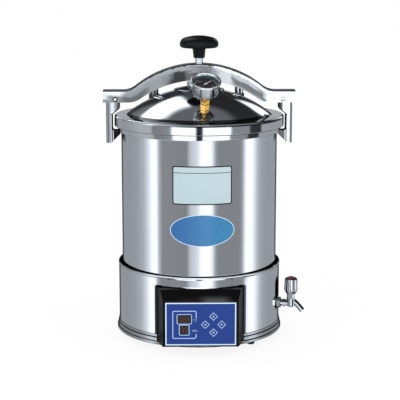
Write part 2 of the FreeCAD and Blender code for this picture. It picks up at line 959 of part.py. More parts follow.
def make_heater():
    """Sheathed heater ring under the sieve plate, its nuts, terminals, thermostat and probe."""
    ring_radius = heater_ring_radius.number
    tube = s.heater_tube_radius.number
    bend = s.heater_bend.number
    level = chamber_floor.number + s.heater_lift.number
    low = s.barrel_floor.number - s.heater_tail.number
    half_gap = math.radians(s.heater_gap_angle.number / 2)
    up = FreeCAD.Vector(0, 0, 1)

    def ring_point(angle):
        return FreeCAD.Vector(ring_radius * math.cos(angle), ring_radius * math.sin(angle), level)

    edges = []
    corners = []
    for side in (-1, 1):
        leg_angle = math.pi / 2 + side * half_gap
        start = ring_point(leg_angle)
        along = FreeCAD.Vector(-math.sin(leg_angle), math.cos(leg_angle), 0) * side
        leg = start - along * bend
        middle = leg + along * bend * (1 - math.sqrt(0.5)) - up * bend * (1 - math.sqrt(0.5))
        bottom = leg - up * bend
        end = FreeCAD.Vector(leg.x, leg.y, low)
        corners.append((start, middle, bottom, end))
    first, second = corners
    far = FreeCAD.Vector(0, -ring_radius, level)
    edges.append(Part.LineSegment(first[3], first[2]).toShape())
    edges.append(Part.Arc(first[2], first[1], first[0]).toShape())
    edges.append(Part.Arc(first[0], far, second[0]).toShape())
    edges.append(Part.Arc(second[0], second[1], second[2]).toShape())
    edges.append(Part.LineSegment(second[2], second[3]).toShape())
    path = Part.Wire(edges)
    section = Part.Wire([Part.Circle(first[3], up, tube).toShape()])
    pipe = path.makePipeShell([section], True, False, 2)
    heater = doc.addObject("Part::Feature", "heater_element")
    heater.Shape = pipe
    keep(heater)

    nuts = []
    terminals = []
    for number, side in enumerate((-1, 1)):
        x, y = heater_leg(side)
        nut_low = s.barrel_floor - s.heater_nut_height
        nut = hexagon(f"heater_nut_{number}", s.heater_nut_radius, s.heater_nut_height, (x, y, nut_low))
        leg = cylinder(f"heater_nut_bore_{number}", s.heater_tube_radius, 20, (x, y, nut_low - 5))
        nuts.append(cut(f"heater_nut_cut_{number}", nut, leg))
        terminals.append(
            cylinder(
                f"heater_terminal_{number}",
                s.terminal_radius,
                s.terminal_length,
                (x, y, s.barrel_floor - s.heater_tail - s.terminal_length),
            )
        )
    keep(group("heater_nuts", nuts))
    keep(group("heater_terminals", terminals))
    keep(
        cylinder(
            "overheat_thermostat",
            s.thermostat_radius,
            s.thermostat_height,
            (s.thermostat_reach, 0, s.barrel_floor - s.thermostat_height),
        )
    )
    probe = turned(
        "temperature_probe",
        [
            (0, s.barrel_floor - s.probe_head_height),
            (s.probe_head_radius, s.barrel_floor - s.probe_head_height),
            (s.probe_head_radius, s.barrel_floor),
            (s.probe_radius, s.barrel_floor),
            (s.probe_radius, chamber_floor + s.probe_length - s.probe_radius),
            (0, chamber_floor + s.probe_length, s.probe_radius, "left"),
        ],
    )
    keep(place(probe, (-s.probe_reach, 0, 0)))


def ring_of_holes(name, count, circle, radius, low, height):
    """Round tools on a circle, for perforated plates."""
    tools = []
    for number in range(count):
        x, y = polar(circle, 360 / count * number)
        tools.append(cylinder(f"{name}_{number}", radius, height, (x, y, low)))
    return tools


def make_load():
    """Sieve plate on its legs, and the perforated bucket with its bail."""
    sieve_low = chamber_floor + s.sieve_lift
    plate = cylinder("sieve_disc", sieve_radius, s.sieve_thickness, (0, 0, sieve_low))
    tools = []
    for index, count in enumerate((6, 12, 18)):
        circle = s.sieve_hole_step * (index + 1)
        tools += ring_of_holes(
            f"sieve_hole_{index}", count, circle, s.sieve_hole_radius, sieve_low - 5, 15
        )
    plate = cut("sieve_drilled", plate, group("sieve_holes", tools))
    legs = [plate]
    for number in range(3):
        x, y = polar(sieve_leg_circle, 30 + 120 * number)
        legs.append(
            cylinder(f"sieve_leg_{number}", s.sieve_leg_radius, s.sieve_lift, (x, y, chamber_floor))
        )
    keep(joined("sieve_plate", legs))

    low = sieve_low + s.sieve_thickness
    high = s.mouth_height - s.bucket_mouth_gap
    corner = s.bucket_corner
    inside = bucket_radius - s.bucket_wall
    bucket = turned(
        "bucket_blank",
        [
            (0, low),
            (bucket_radius - corner, low),
            (bucket_radius, low + corner, corner, "left"),
            (bucket_radius, high - 2 * s.bucket_bead),
            (bucket_radius + s.bucket_bead, high - s.bucket_bead, s.bucket_bead, "left"),
            (bucket_radius, high, s.bucket_bead, "left"),
            (inside, high),
            (inside, low + corner),
            (bucket_radius - corner, low + s.bucket_wall, corner - s.bucket_wall, "right"),
            (0, low + s.bucket_wall),
        ],
    )
    tools = []
    for index, count in enumerate((6, 12, 18)):
        circle = s.sieve_hole_step * (index + 1)
        tools += ring_of_holes(
            f"bucket_hole_{index}", count, circle, s.bucket_hole_radius, low - 5, 12
        )
    keep(cut("sterilizing_bucket", bucket, group("bucket_holes", tools)))

    # The bail lies folded over the bucket's rim, with its ends turned into two ears.
    wire = s.bail_wire_radius
    rest = high + wire
    bow = doc.addObject("Part::Torus", "bail_bow")
    bind(bow, "Radius1", bail_reach - 2 * wire)
    bind(bow, "Radius2", wire)
    bow.Angle3 = 180
    place(bow, (0, 0, rest))
    keep_parts = [bow]
    for number, side in enumerate((-1, 1)):
        x = side * (bail_reach - 2 * wire)
        keep_parts.append(sphere(f"bail_end_{number}", wire, (x, 0, rest)))
    keep(joined("bucket_bail", keep_parts))


def make_lid():
    """Lid: forged ring, gasket, pressed dome, centre pad and the cup for the screw's foot."""
    groove_inner = gasket_inner_radius - s.gasket_play
    groove_outer = gasket_outer_radius + s.gasket_play
    groove_top = gasket_low + s.gasket_height
    keep(
        turned(
            "lid_ring",
            [
                (lid_ring_bore, lid_low),
                (groove_inner, lid_low),
                (groove_inner, groove_top),
                (groove_outer, groove_top),
                (groove_outer, lid_low),
                (lid_ring_radius - s.lid_ring_foot, lid_low),
                (lid_ring_radius, lid_low + s.lid_ring_foot, s.lid_ring_foot, "left"),
                (lid_ring_radius, lid_ring_top - s.lid_ring_edge),
                (lid_ring_radius - s.lid_ring_edge, lid_ring_top, s.lid_ring_edge, "left"),
                (lid_ring_bore, lid_ring_top),
            ],
        )
    )
    keep(
        turned(
            "lid_gasket",
            [
                (gasket_inner_radius, gasket_low),
                (gasket_outer_radius, gasket_low),
                (gasket_outer_radius, groove_top),
                (gasket_inner_radius, groove_top),
            ],
        )
    )
    inner_radius = dome_radius - s.dome_wall
    base_drop = lid_ring_top - dome_centre
    dome = turned(
        "dome_shell",
        [
            (0, dome_top - s.dome_wall),
            (chord_leg(inner_radius, base_drop), lid_ring_top, inner_radius, "right"),
            (dome_base_radius, lid_ring_top),
            (0, dome_top, dome_radius, "left"),
        ],
    )
    holes = []
    for name, azimuth in (("safety", s.safety_azimuth), ("exhaust", s.exhaust_azimuth)):
        x, y = polar(s.valve_reach, azimuth)
        holes.append(cylinder(name + "_dome_hole", s.valve_tail_radius, 60, (x, y, lid_ring_top)))
    gauge_hole = cylinder("dome_gauge_hole", s.union_thread_radius, 40, (0, 0, -20))
    holes.append(on_gauge(gauge_hole, -20))
    keep(cut("lid_dome", dome, group("dome_holes", holes)))

    edge_low = dome_height(s.pad_radius * s.pad_radius, dome_radius)
    keep(
        turned(
            "centre_pad",
            [
                (s.pad_radius, edge_low, dome_radius, "right"),
                (s.pad_radius, edge_low + s.pad_edge),
                (s.pad_radius - s.pad_shoulder, edge_low + s.pad_edge + s.pad_shoulder * 0.6),
                (s.cup_radius + s.cup_edge, pad_top),
                (0, pad_top),
                (0, dome_top),
            ],
        )
    )
    cavity = s.screw_foot_radius + s.loose_gap
    keep(
        turned(
            "thrust_cup",
            [
                (0, pad_top),
                (s.cup_radius - s.cup_edge, pad_top),
                (s.cup_radius, pad_top + s.cup_edge, s.cup_edge, "left"),
                (s.cup_radius, cup_top),
                (cavity, cup_top),
                (cavity, pad_top + s.cup_floor),
                (0, pad_top + s.cup_floor),
            ],
        )
    )
    keep(
        turned(
            "screw_retainer",
            [
                (s.screw_radius + s.loose_gap, cup_top),
                (s.cup_radius, cup_top),
                (s.cup_radius, retainer_top - s.cup_edge),
                (s.cup_radius - s.cup_edge, retainer_top, s.cup_edge, "left"),
                (s.screw_radius + s.loose_gap, retainer_top),
            ],
        )
    )


def make_screw():
    """Clamp screw with its foot in the cup, and the mushroom knob on its top."""
    foot_low = pad_top + s.cup_floor + s.screw_seat_gap
    foot_high = foot_low + s.screw_foot_height
    top = knob_bottom + s.knob_socket
    keep(
        turned(
            "clamp_screw",
            [
                (0, foot_low),
                (s.screw_foot_radius, foot_low),
                (s.screw_foot_radius, foot_high),
                (s.screw_radius, foot_high),
                (s.screw_radius, top),
                (0, top),
            ],
        )
    )
    rim = knob_bottom + s.knob_rim_height
    under = knob_bottom + s.knob_neck_height
    crown = knob_bottom + s.knob_height
    shoulder = s.knob_shoulder_round
    crown_x = s.knob_radius - shoulder + shoulder * sine(s.knob_crown_angle)
    crown_z = rim + shoulder * cosine(s.knob_crown_angle)
    keep(
        turned(
            "clamp_knob",
            [
                (s.screw_radius, knob_bottom),
                (s.knob_neck_low_radius, knob_bottom),
                (s.knob_neck_high_radius, under - 2),
                (s.knob_neck_high_radius + 2, under, 2, "right"),
                (s.knob_radius - s.knob_under_round, under),
                (s.knob_radius, rim, s.knob_under_round, "left"),
                (crown_x, crown_z, shoulder, "left"),
                (0, crown, cap_radius(crown_x, crown - crown_z), "left"),
                (0, top),
                (s.screw_radius, top),
            ],
        )
    )


def arch_points(apex, end, radius, bend):
    """The bend's start, and its end on the arch, for one edge of the yoke."""
    centre = apex - radius
    bend_x = chord_leg(radius + bend, end + bend - centre)
    share = radius / (radius + bend)
    return bend_x, bend_x * share, centre + (end + bend - centre) * share


def make_yoke():
    """Arched yoke beam, its threaded boss and the two hook pins."""
    half = yoke_half_length
    bend = s.yoke_bend_radius
    top_bend, top_x, top_z = arch_points(yoke_top, yoke_end_top, s.yoke_top_radius, bend)
    low_bend, low_x, low_z = arch_points(yoke_bottom, yoke_end_bottom, s.yoke_bottom_radius, bend)
    beam = prism(
        "yoke_beam",
        "XZ_Plane",
        [
            [
                (-half, yoke_end_bottom),
                (-low_bend, yoke_end_bottom),
                (-low_x, low_z, bend, "left"),
                (low_x, low_z, s.yoke_bottom_radius, "right"),
                (low_bend, yoke_end_bottom, bend, "left"),
                (half, yoke_end_bottom),
                (half, yoke_end_top),
                (top_bend, yoke_end_top),
                (top_x, top_z, bend, "right"),
                (-top_x, top_z, s.yoke_top_radius, "left"),
                (-top_bend, yoke_end_top, bend, "right"),
                (-half, yoke_end_top),
            ]
        ],
        length=s.yoke_depth,
        both_ways=True,
    )
    edge_y = s.yoke_depth.number / 2
    lowest_top = yoke_end_top.number - 1

    def is_top_edge(edge):
        box = edge.BoundBox
        along = abs(abs(box.YMin) - edge_y) < 0.01 and box.YLength < 0.01
        return along and box.ZMin > lowest_top and box.XLength > 1

    round_edges(beam, is_top_edge, s.yoke_edge_round)
    inside = s.yoke_wall
    inner_radius = s.yoke_top_radius - inside
    share = inner_radius / (s.yoke_top_radius + bend)
    centre = yoke_top - s.yoke_top_radius
    inner_x = top_bend * share
    inner_z = centre + (yoke_end_top + bend - centre) * share
    pocket(
        beam,
        "XZ_Plane",
        [
            [
                (-half - 5, yoke_end_bottom - 20),
                (half + 5, yoke_end_bottom - 20),
                (half + 5, yoke_end_top - inside),
                (top_bend, yoke_end_top - inside),
                (inner_x, inner_z, bend + inside, "right"),
                (-inner_x, inner_z, inner_radius, "left"),
                (-top_bend, yoke_end_top - inside, bend + inside, "right"),
                (-half - 5, yoke_end_top - inside),
            ]
        ],
        length=s.yoke_depth - 2 * s.yoke_wall,
    )
    pocket(
        beam,
        "XZ_Plane",
        circles=[
            (-pin_reach, pin_height, s.pin_radius),
            (pin_reach, pin_height, s.pin_radius),
        ],
    )
    pocket(beam, "XY_Plane", circles=[(0, 0, s.screw_radius + s.loose_gap)])
    keep(beam)

    nut_top = yoke_top - s.yoke_wall
    corner_drop = s.yoke_top_radius - s.yoke_wall
    flat = corner_drop - chord_leg(corner_drop, s.yoke_nut_radius)
    nut_high = nut_top - flat
    keep(
        turned(
            "yoke_nut",
            [
                (s.screw_radius + s.running_gap, nut_high - s.yoke_nut_length),
                (s.yoke_nut_radius - 1, nut_high - s.yoke_nut_length),
                (s.yoke_nut_radius, nut_high - s.yoke_nut_length + 1),
                (s.yoke_nut_radius, nut_high),
                (s.screw_radius + s.running_gap, nut_high),
            ],
        )
    )

    pins = []
    head = s.pin_head_height
    crown = cap_radius(s.pin_head_radius, head)
    outside = s.yoke_depth * 0.5
    for number, side in enumerate((-1, 1)):
        pin = turned(
            f"hook_pin_{number}",
            [
                (0, -outside - head),
                (s.pin_head_radius, -outside, crown, "left"),
                (s.pin_radius, -outside),
                (s.pin_radius, outside),
                (s.pin_head_radius, outside),
                (0, outside + head, crown, "left"),
            ],
        )
        place(pin, (side * pin_reach, 0, pin_height), (1, 0, 0), 90)
        pins.append(pin)
    keep(group("hook_pins", pins))


def mirrored(corners, side):
    """The same outline on the other side of the vessel."""
    if side > 0:
        return corners
    swap = {"left": "right", "right": "left"}
    flipped = []
    for corner in corners:
        flipped.append((-as_size(corner[0]), *corner[1:3], *[swap[t] for t in corner[3:]]))
    return flipped


def make_hook(name, side):
    """One side hook: a folded channel whose two cheeks reach round the ring and flange."""
    tooth_top = flange_low - s.hook_tooth_gap
    bottom = tooth_top - s.hook_length_below_tooth
    tip = s.barrel_radius + s.hook_barrel_gap
    notch = lid_ring_radius + s.hook_ring_gap
    neck = pin_reach - s.hook_eye_radius
    web = hook_web_reach
    corner = s.hook_notch_round
    outline = [
        (web, bottom),
        (web, pin_height + s.hook_eye_radius - s.hook_shoulder_drop),
        (pin_reach + s.hook_shoulder_run, pin_height + s.hook_eye_radius),
        (pin_reach, pin_height + s.hook_eye_radius),
        (neck, pin_height, s.hook_eye_radius, "left"),
        (neck, pin_height - s.hook_neck_length),
        (notch, lid_ring_top + 0.5),
        (notch, tooth_top + corner),
        (notch - corner, tooth_top, corner, "right"),
        (tip + 1, tooth_top),
        (tip, tooth_top - 1),
        (tip, tooth_top - s.hook_tooth_height),
        (web - s.hook_toe_width, bottom),
    ]
    hook = prism(name, "XZ_Plane", [mirrored(outline, side)], length=s.hook_depth, both_ways=True)
    fold_x = hook_web_reach.number * side
    shoulder = (pin_height + s.hook_eye_radius - s.hook_shoulder_drop).number

    def is_fold_edge(edge):
        box = edge.BoundBox
        upright = box.XLength < 0.01 and box.YLength < 0.01
        return upright and abs(box.XMin - fold_x) < 0.01 and box.ZMax < shoulder + 0.1

    round_edges(hook, is_fold_edge, s.hook_fold_round)
    inner = web - s.hook_wall
    half = s.hook_depth * 0.5 - s.hook_wall
    fold = s.hook_fold_round - s.hook_wall
    far = s.barrel_radius * 0.8
    channel = [
        (far, -half),
        (inner - fold, -half),
        (inner, -half + fold, fold, "left"),
        (inner, half - fold),
        (inner - fold, half, fold, "left"),
        (far, half),
    ]
    pocket(hook, "XY_Plane", [mirrored(channel, side)])
    pocket(
        hook,
        "XZ_Plane",
        circles=[(side * pin_reach, pin_height, s.pin_radius + s.running_gap)],
    )
    keep(hook)


def gauge_tilt():
    """The dome's slope under the gauge, in degrees."""
    share = s.gauge_reach / dome_radius
    number = math.degrees(math.asin(share.number))
    return Size(number, f"(asin({share.text}) / 1 deg)")


def on_gauge(piece, lift=0):
    """Carry a piece, made about Z, to the gauge's place square to the dome."""
    tilt = gauge_tilt()
    out_x = cosine(s.gauge_azimuth)
    out_y = sine(s.gauge_azimuth)
    reach = dome_radius * sine(tilt) + lift * sine(tilt)
    height = dome_centre + (dome_radius + lift) * cosine(tilt)
    place(piece, (reach * out_x, reach * out_y, height), (0, 1, 0), tilt)
    tilt_turn = FreeCAD.Rotation(FreeCAD.Vector(0, 1, 0), tilt.number)
    swing = FreeCAD.Rotation(FreeCAD.Vector(0, 0, 1), s.gauge_azimuth.number)
    piece.Placement.Rotation = swing * tilt_turn
    piece.setExpression(".Placement.Rotation.Angle", None)
    piece.setExpression(".Placement.Rotation.Yaw", s.gauge_azimuth.text)
    piece.setExpression(".Placement.Rotation.Pitch", tilt.text)
    return piece


def make_gauge():
    """Pressure gauge square to the dome on a brass union."""
    face = s.gauge_height
    case_back = face - s.gauge_case_depth
    neck_low = s.union_low_height
    neck_high = neck_low + s.union_neck_height
    hex_high = neck_high + s.union_high_height
    pieces = [
        hexagon("union_low_hex", s.union_hex_radius, s.union_low_height),
        cylinder("union_neck", s.union_neck_radius, s.union_neck_height, (0, 0, neck_low)),
        hexagon("union_high_hex", s.union_hex_radius, s.union_high_height, (0, 0, neck_high)),
        cylinder("union_stem", s.union_neck_radius, case_back - hex_high, (0, 0, hex_high)),
        cylinder(
            "union_thread",
            s.union_thread_radius,
            s.union_thread_length,
            (0, 0, -s.union_thread_length),
        ),
    ]
    keep(on_gauge(joined("gauge_union", pieces)))

    rim = s.gauge_case_radius
    wall = s.gauge_case_wall
    case_round = s.gauge_case_round
    bezel_low = face - s.gauge_bezel_height
    keep(
        on_gauge(
            turned(
                "gauge_case",
                [
                    (0, case_back),
                    (rim - case_round, case_back),
                    (rim, case_back + case_round, case_round, "left"),
                    (rim, bezel_low),
                    (rim - wall, bezel_low),
                    (rim - wall, case_back + case_round),
                    (rim - case_round, case_back + wall, case_round - wall, "right"),
                    (0, case_back + wall),
                ],
            )
        )
    )
    glass_top = face - s.gauge_glass_recess
    glass_low = glass_top - s.gauge_glass_thickness
    opening = s.gauge_bezel_radius - s.gauge_bezel_lip
    keep(
        on_gauge(
            turned(
                "gauge_bezel",
                [
                    (rim - wall, bezel_low),
                    (s.gauge_bezel_radius - 1, bezel_low),
                    (s.gauge_bezel_radius, bezel_low + 1, 1, "left"),
                    (s.gauge_bezel_radius, face - 1.2),
                    (s.gauge_bezel_radius - 1.2, face, 1.2, "left"),
                    (opening + 0.6, face),
                    (opening, face - 0.6),
                    (opening, glass_low),
                    (rim - wall, glass_low),
                ],
            )
        )
    )
    keep(
        on_gauge(
            cylinder("gauge_glass", opening, s.gauge_glass_thickness, (0, 0, glass_low)), glass_low
        )
    )
    dial_top = face - s.gauge_dial_depth
    dial = turned(
        "gauge_dial",
        [
            (s.gauge_shaft_radius + s.loose_gap, dial_top - s.gauge_dial_thickness),
            (rim - wall, dial_top - s.gauge_dial_thickness),
            (rim - wall, dial_top),
            (s.gauge_shaft_radius + s.loose_gap, dial_top),
        ],
    )
    keep(on_gauge(dial))

    pointer_low = face - s.gauge_pointer_depth
    tip = s.gauge_pointer_length
    tail = s.gauge_pointer_tail
    hub = cylinder("pointer_hub", s.gauge_hub_radius, 1.2, (0, 0, pointer_low - 0.3))
    blade = prism(
        "pointer_blade",
        "XY_Plane",
        [[(-tail, -1.1), (0, -1.3), (tip, 0), (0, 1.3), (-tail, 1.1)]],
        length=s.gauge_pointer_thickness,
        start=pointer_low,
    )
    place(blade, turn=s.gauge_zero_angle)
    shaft = cylinder("pointer_shaft", s.gauge_shaft_radius, 6, (0, 0, pointer_low - 6))
    keep(on_gauge(joined("gauge_pointer", [hub, blade, shaft])))

    tube = doc.addObject("Part::Torus", "bourdon_coil")
    bind(tube, "Radius1", s.bourdon_radius)
    bind(tube, "Radius2", s.bourdon_tube_radius)
    tube.Angle3 = 270
    middle = case_back + wall + s.bourdon_tube_radius
    place(tube, (0, 0, middle))
    socket = cylinder("bourdon_socket", 3, s.bourdon_tube_radius * 2, (s.bourdon_radius, 0, case_back + wall))
    keep(on_gauge(joined("bourdon_tube", [tube, socket])))


def valve_boss(name, azimuth):
    """Hexagonal foot that follows the dome, with a tail through it."""
    x, y = polar(s.valve_reach, azimuth)
    low = dome_height(s.valve_reach * s.valve_reach, dome_radius)
    foot = hexagon(name + "_foot", s.valve_hex_radius, s.valve_hex_height * 2, (x, y, low - s.valve_hex_height))
    ball = sphere(name + "_ball", dome_radius, (0, 0, dome_centre))
    seated = cut(name + "_seated", foot, ball)
    tail = cylinder(name + "_tail", s.valve_tail_radius, s.valve_tail_length, (x, y, low - s.valve_tail_length + 4))
    return x, y, low + s.valve_hex_height, [seated, tail]


def make_safety_valve():
    """Spring safety valve: a body with a stem that lifts."""
    x, y, low, pieces = valve_boss("safety", s.safety_azimuth)
    high = low + s.valve_body_height
    tube = turned(
        "safety_tube",
        [
            (0, low - 3),
            (s.valve_body_radius, low - 3),
            (s.valve_body_radius, high - 1),
            (s.valve_body_radius - 1, high),
            (s.valve_stem_radius + s.loose_gap, high),
            (s.valve_stem_radius + s.loose_gap, high - s.valve_cap_wall),
            (s.valve_bore_radius, high - s.valve_cap_wall),
            (s.valve_bore_radius, low + 2),
            (0, low + 2),
        ],
    )
    place(tube, (x, y, 0))
    keep(joined("safety_valve_body", pieces + [tube]))
    button_low = high + s.valve_button_lift
    stem = turned(
        "safety_valve_stem",
        [
            (0, low + 2 + s.loose_gap),
            (s.valve_bore_radius - s.loose_gap, low + 2 + s.loose_gap),
            (s.valve_bore_radius - s.loose_gap, low + 6),
            (s.valve_stem_radius, low + 6),
            (s.valve_stem_radius, button_low),
            (s.valve_button_radius - 1, button_low),
            (s.valve_button_radius, button_low + 1, 1, "left"),
            (s.valve_button_radius, button_low + s.valve_button_height - 1),
            (s.valve_button_radius - 1, button_low + s.valve_button_height, 1, "left"),
            (0, button_low + s.valve_button_height),
        ],
    )
    keep(place(stem, (x, y, 0)))


def make_exhaust_valve():
    """Exhaust valve: a body with two ears, and a lever that flips up on a pin."""
    x, y, low, pieces = valve_boss("exhaust", s.exhaust_azimuth)
    high = low + s.valve_body_height - 3
    pivot = high + s.lever_rise
    post = cylinder("exhaust_post", s.valve_body_radius, high - low + 3, (x, y, low - 3))
    parts = pieces + [post]
    half = s.lever_width * 0.5 + s.loose_gap
    holes = cylinder("exhaust_pin_hole", s.lever_pin_radius, 60)
    place(holes, (x - 30, y, pivot), (0, 1, 0), 90)
    for number, side in enumerate((-1, 1)):
        inner = x + side * half
        outer = inner + side * s.lever_ear_width
        left, right = (inner, outer) if side > 0 else (outer, inner)
        ear = block(f"exhaust_ear_{number}", (left, y - 4, high - 3), (right, y + 4, pivot + 4))
        parts.append(ear)
    keep(cut("exhaust_valve_body", joined("exhaust_blank", parts), holes))
    length = 2 * (half + s.lever_ear_width)
    pin = cylinder("exhaust_pin", s.lever_pin_radius, length)
    keep(place(pin, (x - length * 0.5, y, pivot), (0, 1, 0), 90))

    eye = s.lever_eye_radius
    thick = s.lever_thickness * 0.5
    side_leg = chord_leg(eye, thick)
    lever = prism(
        "exhaust_lever",
        "YZ_Plane",
        [
            [
                (side_leg, -thick, eye, "left"),
                (s.lever_length - thick, -thick),
                (s.lever_length, 0, thick, "left"),
                (s.lever_length - thick, thick, thick, "left"),
                (side_leg, thick),
                (0, eye, eye, "left"),
                (-eye, 0, eye, "left"),
                (0, -eye, eye, "left"),
            ]
        ],
        length=s.lever_width,
        circles=[(0, 0, s.lever_pin_radius + s.running_gap)],
        both_ways=True,
    )
    keep(place(lever, (x, y, pivot)))


def on_tap(piece, along=0, height=0):
    """Carry a piece to a reach along the tap's direction, turned with it."""
    x, y = polar(as_size(along), s.tap_azimuth)
    return place(piece, (x, y, height), (0, 0, 1), s.tap_azimuth)


def pipe_along(points, radius):
    """A round bar along straight runs and tangent arcs in one plane."""
    edges = []
    for kind, *places in points:
        if kind == "line":
            edges.append(Part.LineSegment(*places).toShape())
        else:
            edges.append(Part.Arc(*places).toShape())
    path = Part.Wire(edges)
    start = edges[0].Vertexes[0].Point
    direction = edges[0].tangentAt(edges[0].FirstParameter)
    section = Part.Wire([Part.Circle(start, direction, radius).toShape()])
    return path.makePipeShell([section], True, False, 2)


def tap_plane(reach, height):
    """A point in the upright plane of the tap, before it is swung to its azimuth."""
    return FreeCAD.Vector(reach, 0, height)


def swung(shape):
    shape.rotate(FreeCAD.Vector(), FreeCAD.Vector(0, 0, 1), s.tap_azimuth.number)
    return shape


def make_drain():
    """Drain pipe from the floor of the vessel to the tap's union."""
    bend = s.drain_bend.number
    reach = drain_reach.number
    level = s.tap_height.number
    joint = union_joint_reach.number
    top = chamber_floor.number
    share = 1 - math.sqrt(0.5)
    route = [
        ("line", tap_plane(reach, top), tap_plane(reach, level + bend)),
        (
            "arc",
            tap_plane(reach, level + bend),
            tap_plane(reach + bend * share, level + bend * share),
            tap_plane(reach + bend, level),
        ),
        ("line", tap_plane(reach + bend, level), tap_plane(joint, level)),
    ]
    outside = pipe_along(route, s.tap_pipe_radius.number)
    inside = pipe_along(route, s.tap_bore_radius.number)
    pipe = doc.addObject("Part::Feature", "drain_pipe")
    pipe.Shape = swung(outside.cut(inside))
    keep(pipe)

    corners = [polar(s.tap_nut_radius, 30 + 60 * number) for number in range(6)]
    nut = prism(
        "tap_union",
        "YZ_Plane",
        [corners],
        length=s.tap_nut_width,
        circles=[(0, 0, s.tap_pipe_radius + s.running_gap)],
        both_ways=True,
    )
    keep(on_tap(nut, union_joint_reach, s.tap_height))


def make_tap():
    """Screw-down tap: body with spout, bonnet, jumper, spindle, fluted handle and cap."""
    axis = tap_axis_reach.number
    level = s.tap_height.number
    joint = union_joint_reach.number
    body_low = level - s.tap_body_low.number
    body_high = level + s.tap_body_high.number
    radius = s.tap_body_radius.number
    up = FreeCAD.Vector(0, 0, 1)
    along = FreeCAD.Vector(1, 0, 0)

    spout_level = level + s.spout_rise.number
    bend = s.spout_bend.number
    slope = math.radians(s.spout_slope.number)
    bend_start = axis + s.spout_level.number
    middle = slope / 2
    bend_end = tap_plane(bend_start + bend * math.sin(slope), spout_level - bend * (1 - math.cos(slope)))
    spout_end = tap_plane(
        bend_end.x + s.spout_straight.number * math.cos(slope),
        bend_end.z - s.spout_straight.number * math.sin(slope),
    )
    route = [
        ("line", tap_plane(axis, spout_level), tap_plane(bend_start, spout_level)),
        (
            "arc",
            tap_plane(bend_start, spout_level),
            tap_plane(bend_start + bend * math.sin(middle), spout_level - bend * (1 - math.cos(middle))),
            bend_end,
        ),
        ("line", bend_end, spout_end),
    ]
    shank = Part.makeCylinder(s.tap_pipe_radius.number, axis - joint, tap_plane(joint, level), along)
    collar = Part.makeCylinder(s.tap_pipe_radius.number + 1.2, 4, tap_plane(joint + 8, level), along)
    barrel = Part.makeCylinder(radius, body_high - body_low - radius * 0.5, tap_plane(axis, body_low + radius * 0.5), up)
    bulb = Part.makeSphere(radius, tap_plane(axis, body_low + radius))
    spout = pipe_along(route, s.spout_radius.number)
    solid = shank.fuse([collar, barrel, bulb, spout])
    cavity_low = level - s.jumper_drop.number
    cavity = Part.makeCylinder(s.tap_cavity_radius.number, body_high - cavity_low + 1, tap_plane(axis, cavity_low), up)
    feed = Part.makeCylinder(s.tap_bore_radius.number, axis - joint, tap_plane(joint, level), along)
    outlet = pipe_along(route, s.spout_bore_radius.number)
    tap = doc.addObject("Part::Feature", "tap_body")
    tap.Shape = swung(solid.cut([cavity, feed, outlet]).removeSplitter())
    keep(tap)

    bonnet_low = s.tap_height + s.tap_body_high
    bonnet = hexagon("bonnet_hex", s.bonnet_hex_radius, s.bonnet_height)
    bore = cylinder("bonnet_bore", s.spindle_radius + s.running_gap, 40, (0, 0, -10))
    keep(on_tap(cut("tap_bonnet", bonnet, bore), tap_axis_reach, bonnet_low))

    handle_low = bonnet_low + s.bonnet_height + s.tap_handle_gap
    spindle_low = s.tap_height + s.spindle_end_rise
    spindle_high = handle_low + s.tap_handle_socket
    keep(
        on_tap(
            cylinder("tap_spindle", s.spindle_radius, spindle_high - spindle_low),
            tap_axis_reach,
            spindle_low,
        )
    )
    jumper_low = s.tap_height - s.jumper_drop + s.loose_gap
    jumper = turned(
        "tap_jumper",
        [
            (0, 0),
            (s.jumper_radius, 0),
            (s.jumper_radius, s.jumper_height),
            (s.spindle_radius + s.running_gap, s.jumper_height),
            (s.spindle_radius + s.running_gap, s.jumper_height - s.jumper_pocket),
            (0, s.jumper_height - s.jumper_pocket),
        ],
    )
    keep(on_tap(jumper, tap_axis_reach, jumper_low))

    height = s.tap_handle_height
    blank = turned(
        "tap_handle_blank",
        [
            (s.spindle_radius, 0),
            (s.tap_handle_low_radius, 0),
            (s.tap_handle_wide_radius, s.tap_handle_wide_height),
            (s.tap_handle_top_radius + 1, height - 3),
            (s.tap_handle_top_radius - 2, height, 3, "left"),
            (0, height),
            (0, s.tap_handle_socket),
            (s.spindle_radius, s.tap_handle_socket),
        ],
    )
    flutes = []
    for number in range(8):
        x, y = polar(s.tap_flute_circle, 45 * number)
        flutes.append(cylinder(f"tap_flute_{number}", s.tap_flute_radius, 2 * height, (x, y, -10)))
    handle = cut("tap_handle", blank, group("tap_flutes", flutes))
    keep(on_tap(handle, tap_axis_reach, handle_low))
    cap = turned(
        "tap_cap",
        [
            (0, 0),
            (s.tap_cap_radius, 0),
            (s.tap_cap_radius, s.tap_cap_height * 0.5),
            (s.tap_cap_radius - 1, s.tap_cap_height),
            (0, s.tap_cap_height),
        ],
    )
    keep(on_tap(cap, tap_axis_reach, handle_low + height))


def diamond(x, z, half):
    return [(x, z - half), (x + half, z), (x, z + half), (x - half, z)]


def key_places():
    """The four keys and their centres on the panel."""
    return {
        "key_up": (s.key_centre_x, s.key_centre_z + s.key_spread_z),
        "key_left": (s.key_centre_x - s.key_spread_x, s.key_centre_z),
        "key_right": (s.key_centre_x + s.key_spread_x, s.key_centre_z),
        "key_down": (s.key_centre_x, s.key_centre_z - s.key_spread_z),
    }


def display_windows():
    """The outlines of the two display windows."""
    return [
        rectangle(s.display_left, s.display_mid, s.display_right, s.display_high),
        rectangle(s.timer_left, s.timer_low, s.timer_right, s.timer_high),
    ]


